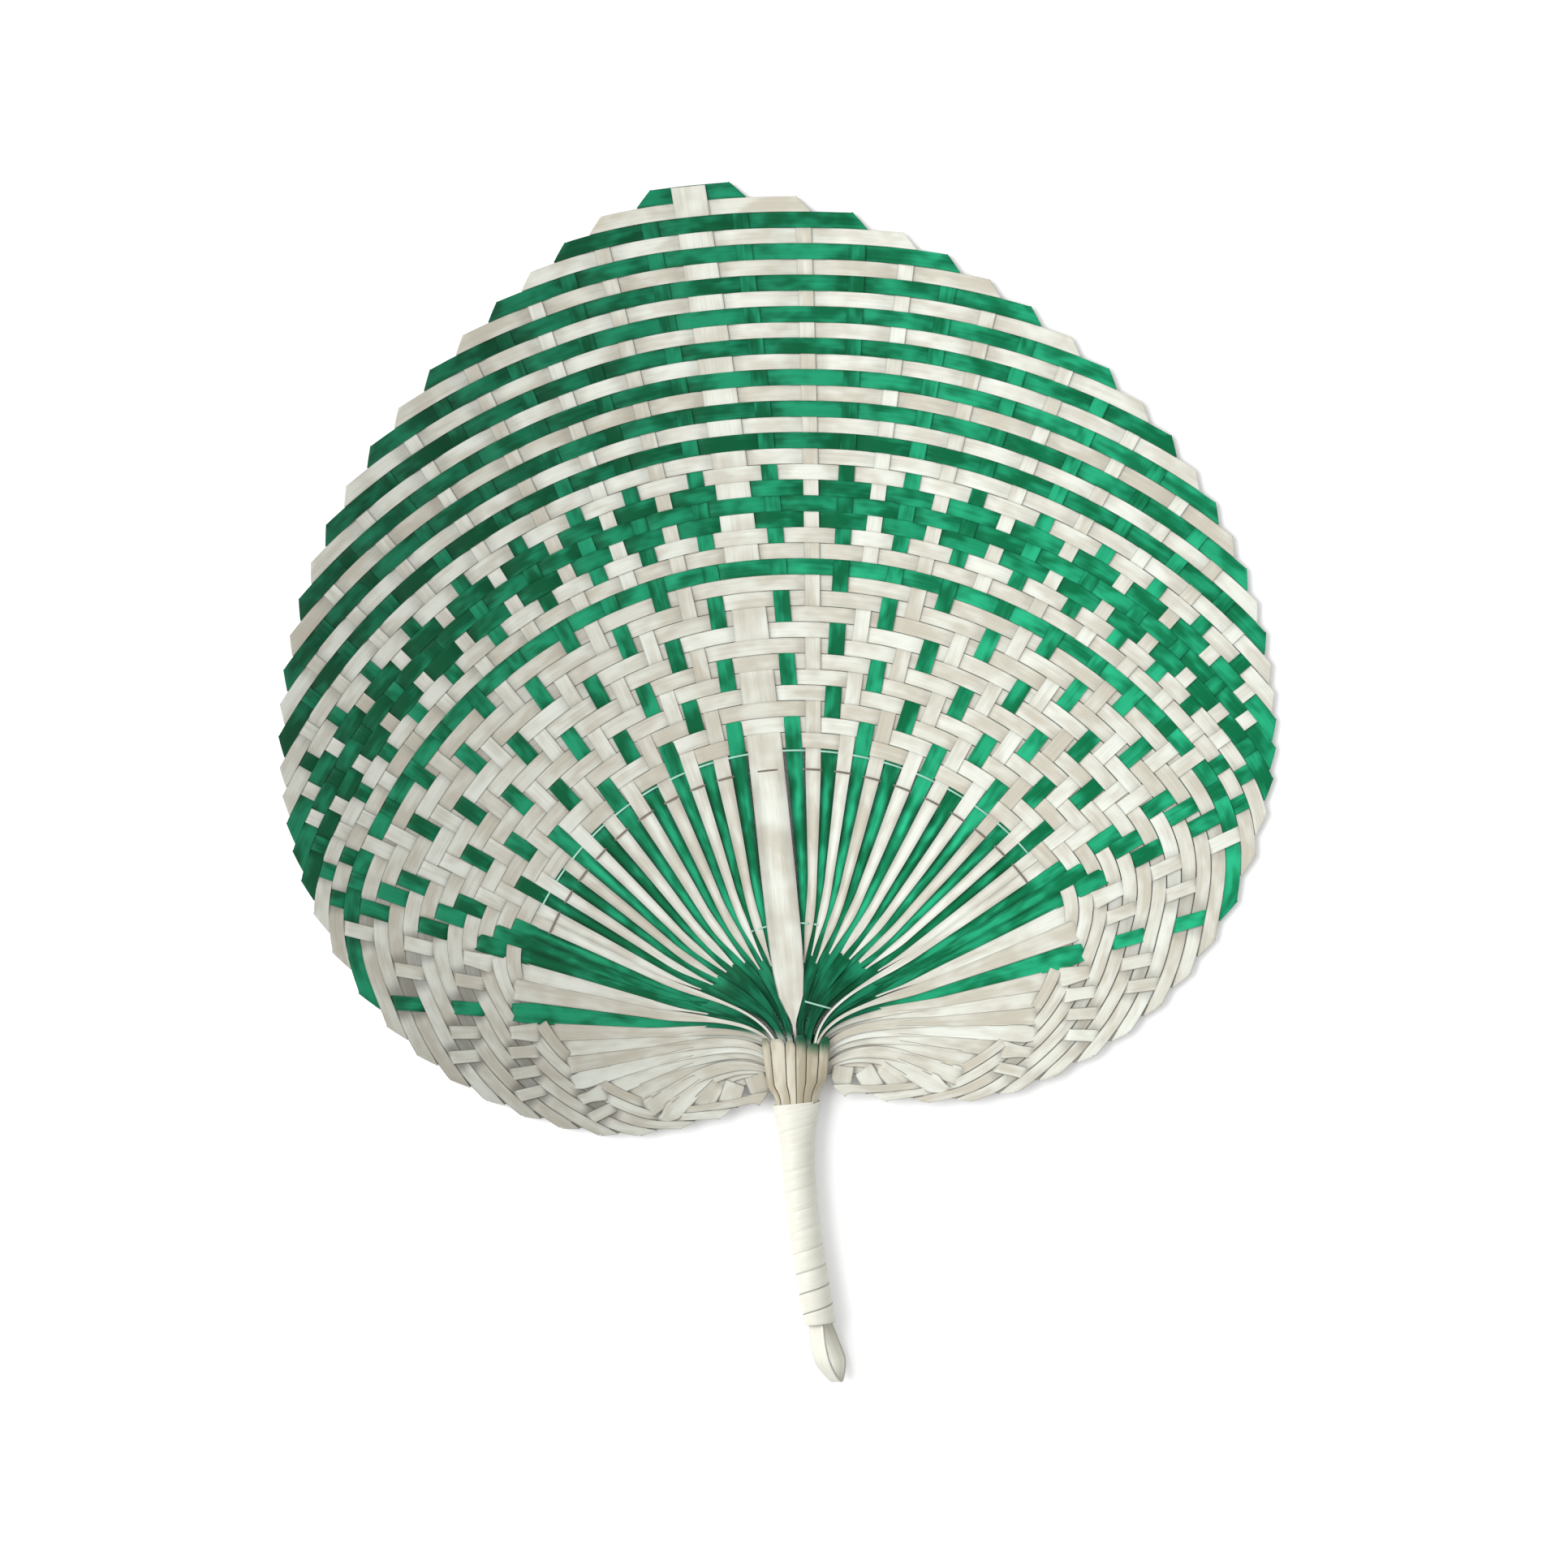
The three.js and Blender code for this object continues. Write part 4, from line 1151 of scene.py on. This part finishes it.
class FAN_OT_neck_slats(bpy.types.Operator):
    """Cover the gathered strip ends at the neck, front and back"""

    bl_idname = "fan.neck_slats"
    bl_label = "Neck Slats"

    def execute(self, context):
        thickness = sizes().slat_thickness
        for face, edges, tops, side in (
            ("front", FRONT_SLAT_EDGES, FRONT_SLAT_TOPS, 1),
            ("back", BACK_SLAT_EDGES, BACK_SLAT_TOPS, -1),
        ):
            for slat, (left, right, top) in enumerate(zip(edges, edges[1:], tops)):
                sections = []
                for k in range(SLAT_STEPS + 1):
                    down = lerp(-top, SLAT_BOTTOM, (k / SLAT_STEPS) ** SLAT_CROWDING)
                    tip = 1 - smooth(down, *around(-top, SLAT_TIP))
                    gap = SLAT_GAP + SLAT_TIP_GAP * tip
                    a = neck_point(down, left + gap, side)
                    b = neck_point(down, right - gap, side)
                    sections.append(((a + b) / 2, b - a))
                name = f"slat_{face}_{slat + 1}"
                crown = SLAT_CROWN * side
                seed = SLAT_SEED + slat
                piece = bent_sheet(name, sections, thickness, STRIP_STEPS, crown, SLAT_BEVEL, seed)
                dress(piece, slat_material(), "neck_slat", f"neck_slat_{face}_{slat + 1}")
        return {"FINISHED"}


class FAN_OT_grip(bpy.types.Operator):
    """Wind the flat binding down the grip, over its core"""

    bl_idname = "fan.grip"
    bl_label = "Grip"

    def execute(self, context):
        thickness = sizes().binding_thickness
        pitch = (GRIP_END - BINDING_TOP) / BINDING_TURNS
        lift = thickness / MM / 2 - BINDING_SUNK
        sections = []
        for k in range(BINDING_TRIM, (BINDING_TURNS + 1) * BINDING_STEPS - BINDING_TRIM + 1):
            turn = 2 * math.pi * k / BINDING_STEPS
            lower = BINDING_TOP + pitch * k / BINDING_STEPS
            loose = smooth(lower, BINDING_LOOSE_FROM, GRIP_END)
            seam = lerp(*BINDING_SEAM, loose)
            step = lerp(*BINDING_STEP, loose)
            edges = []
            for at, proud in ((lower - pitch + seam, step), (lower - seam, -step)):
                at = min(GRIP_END, max(BINDING_TOP, at))
                wide = spline_at(GRIP_HALF_WIDTH, at) + lift + proud
                high = spline_at(GRIP_HALF_HEIGHT, at) + lift + proud
                x = bow_at(at) + wide * math.cos(turn)
                edges.append(Vector((x, -at, NECK_HEIGHT + high * math.sin(turn))) + FOCUS)
            sections.append(((edges[0] + edges[1]) / 2, edges[1] - edges[0]))
        binding = bent_sheet(
            "binding", sections, thickness, STRIP_STEPS, BINDING_CROWN, BINDING_BEVEL, BINDING_SEED
        )
        dress(binding, binding_material(), "grip_binding", "grip_binding")
        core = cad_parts["grip_core"]
        core.data.materials.clear()
        core.data.materials.append(core_material())
        return {"FINISHED"}


class FAN_OT_hanging_loop(bpy.types.Operator):
    """Bend the flat strip of the hanging loop, its legs inside the binding"""

    bl_idname = "fan.hanging_loop"
    bl_label = "Hanging Loop"

    def execute(self, context):
        thick = sizes().loop_thickness / MM
        half = [
            (LOOP_LEG, GRIP_END - LOOP_ROOT),
            (LOOP_LEG, GRIP_END - LOOP_MOUTH),
            (LOOP_HALF_WIDTH - thick, lerp(GRIP_END, LOOP_END, LOOP_WIDEST)),
            (LOOP_HALF_WIDTH - LOOP_SHOULDER_INSET * thick, lerp(GRIP_END, LOOP_END, LOOP_SHOULDER)),
        ]
        outline = half + [(0, LOOP_END - thick / 2)] + [(-u, down) for u, down in reversed(half)]
        twist = math.radians(LOOP_TWIST)
        wide = Vector((-math.sin(twist), 0, math.cos(twist))) * sizes().loop_width / MM
        bend_from = lerp(GRIP_END, LOOP_END, LOOP_BEND_FROM)
        sections = []
        for k in range((len(outline) - 1) * LOOP_STEPS + 1):
            u, down = catmull(outline, k / LOOP_STEPS)
            x = bow_at(down) + u * math.cos(twist)
            bend = lerp(1, LOOP_BEND_SHARE, smooth(down, bend_from, LOOP_END))
            sections.append((Vector((x, -down, NECK_HEIGHT + u * math.sin(twist))) + FOCUS, wide * bend))
        loop = bent_sheet(
            "loop", sections, sizes().loop_thickness, STRIP_STEPS, LOOP_CROWN, LOOP_BEVEL, LOOP_SEED
        )
        dress(loop, binding_material(), "hanging_loop", "hanging_loop")
        return {"FINISHED"}


class FAN_OT_stage(bpy.types.Operator):
    """Set up the floor, the soft lights and the camera over the fan"""

    bl_idname = "fan.stage"
    bl_label = "Stage"

    def execute(self, context):
        scene = context.scene
        bpy.ops.object.select_all(action="DESELECT")
        bpy.ops.mesh.primitive_plane_add(size=FLOOR_SIZE)
        floor = context.active_object
        floor.name = "floor"
        floor.location.z = -FLOOR_DROP
        paint = bpy.data.materials.new("Studio floor")
        paint.use_nodes = True
        shader = paint.node_tree.nodes["Principled BSDF"]
        shader.inputs["Base Color"].default_value = (*colours().floor, 1)
        shader.inputs["Roughness"].default_value = 0.9
        floor.data.materials.append(paint)
        world = bpy.data.worlds.new("Studio")
        world.use_nodes = True
        sky = world.node_tree.nodes["Background"]
        sky.inputs["Color"].default_value = (1, 1, 1, 1)
        sky.inputs["Strength"].default_value = SKY_STRENGTH
        scene.world = world
        scene.view_settings.view_transform = "Standard"
        for name, place, size, power in LIGHTS:
            data = bpy.data.lights.new(name, "AREA")
            data.size = size
            data.energy = power
            lamp = bpy.data.objects.new(name, data)
            lamp.location = place
            lamp.rotation_euler = (-Vector(place)).to_track_quat("-Z", "Y").to_euler()
            scene.collection.objects.link(lamp)
        data = bpy.data.cameras.new("camera")
        data.sensor_width = SENSOR_WIDTH
        data.lens = SENSOR_WIDTH * CAMERA_PLACE[2] / VIEW_WIDTH
        camera = bpy.data.objects.new("camera", data)
        camera.location = CAMERA_PLACE
        camera.rotation_euler = (0, 0, math.radians(CAMERA_TURN))
        scene.collection.objects.link(camera)
        scene.camera = camera
        return {"FINISHED"}


STEPS = (
    FAN_OT_woven_strips,
    FAN_OT_middle_rib,
    FAN_OT_tie_threads,
    FAN_OT_neck_slats,
    FAN_OT_grip,
    FAN_OT_hanging_loop,
    FAN_OT_stage,
)


class FAN_PT_maker(bpy.types.Panel):
    """Sizes, colours and steps of the fan"""

    bl_idname = "FAN_PT_maker"
    bl_label = "Woven Bamboo Fan"
    bl_space_type = "VIEW_3D"
    bl_region_type = "UI"
    bl_category = "Fan"

    def draw(self, context):
        for group in (context.scene.fan_sizes, context.scene.fan_colours):
            for name in group.__annotations__:
                self.layout.prop(group, name)
        for step in STEPS:
            self.layout.operator(step.bl_idname)


CLASSES = (FanSizes, FanColours, *STEPS, FAN_PT_maker)


def register():
    for cls in CLASSES:
        bpy.utils.register_class(cls)
    bpy.types.Scene.fan_sizes = PointerProperty(type=FanSizes)
    bpy.types.Scene.fan_colours = PointerProperty(type=FanColours)


def unregister():
    del bpy.types.Scene.fan_colours
    del bpy.types.Scene.fan_sizes
    for cls in reversed(CLASSES):
        bpy.utils.unregister_class(cls)


def main():
    register()
    for step in STEPS:
        group, name = step.bl_idname.split(".")
        getattr(getattr(bpy.ops, group), name)()


if __name__ == "__main__":
    main()
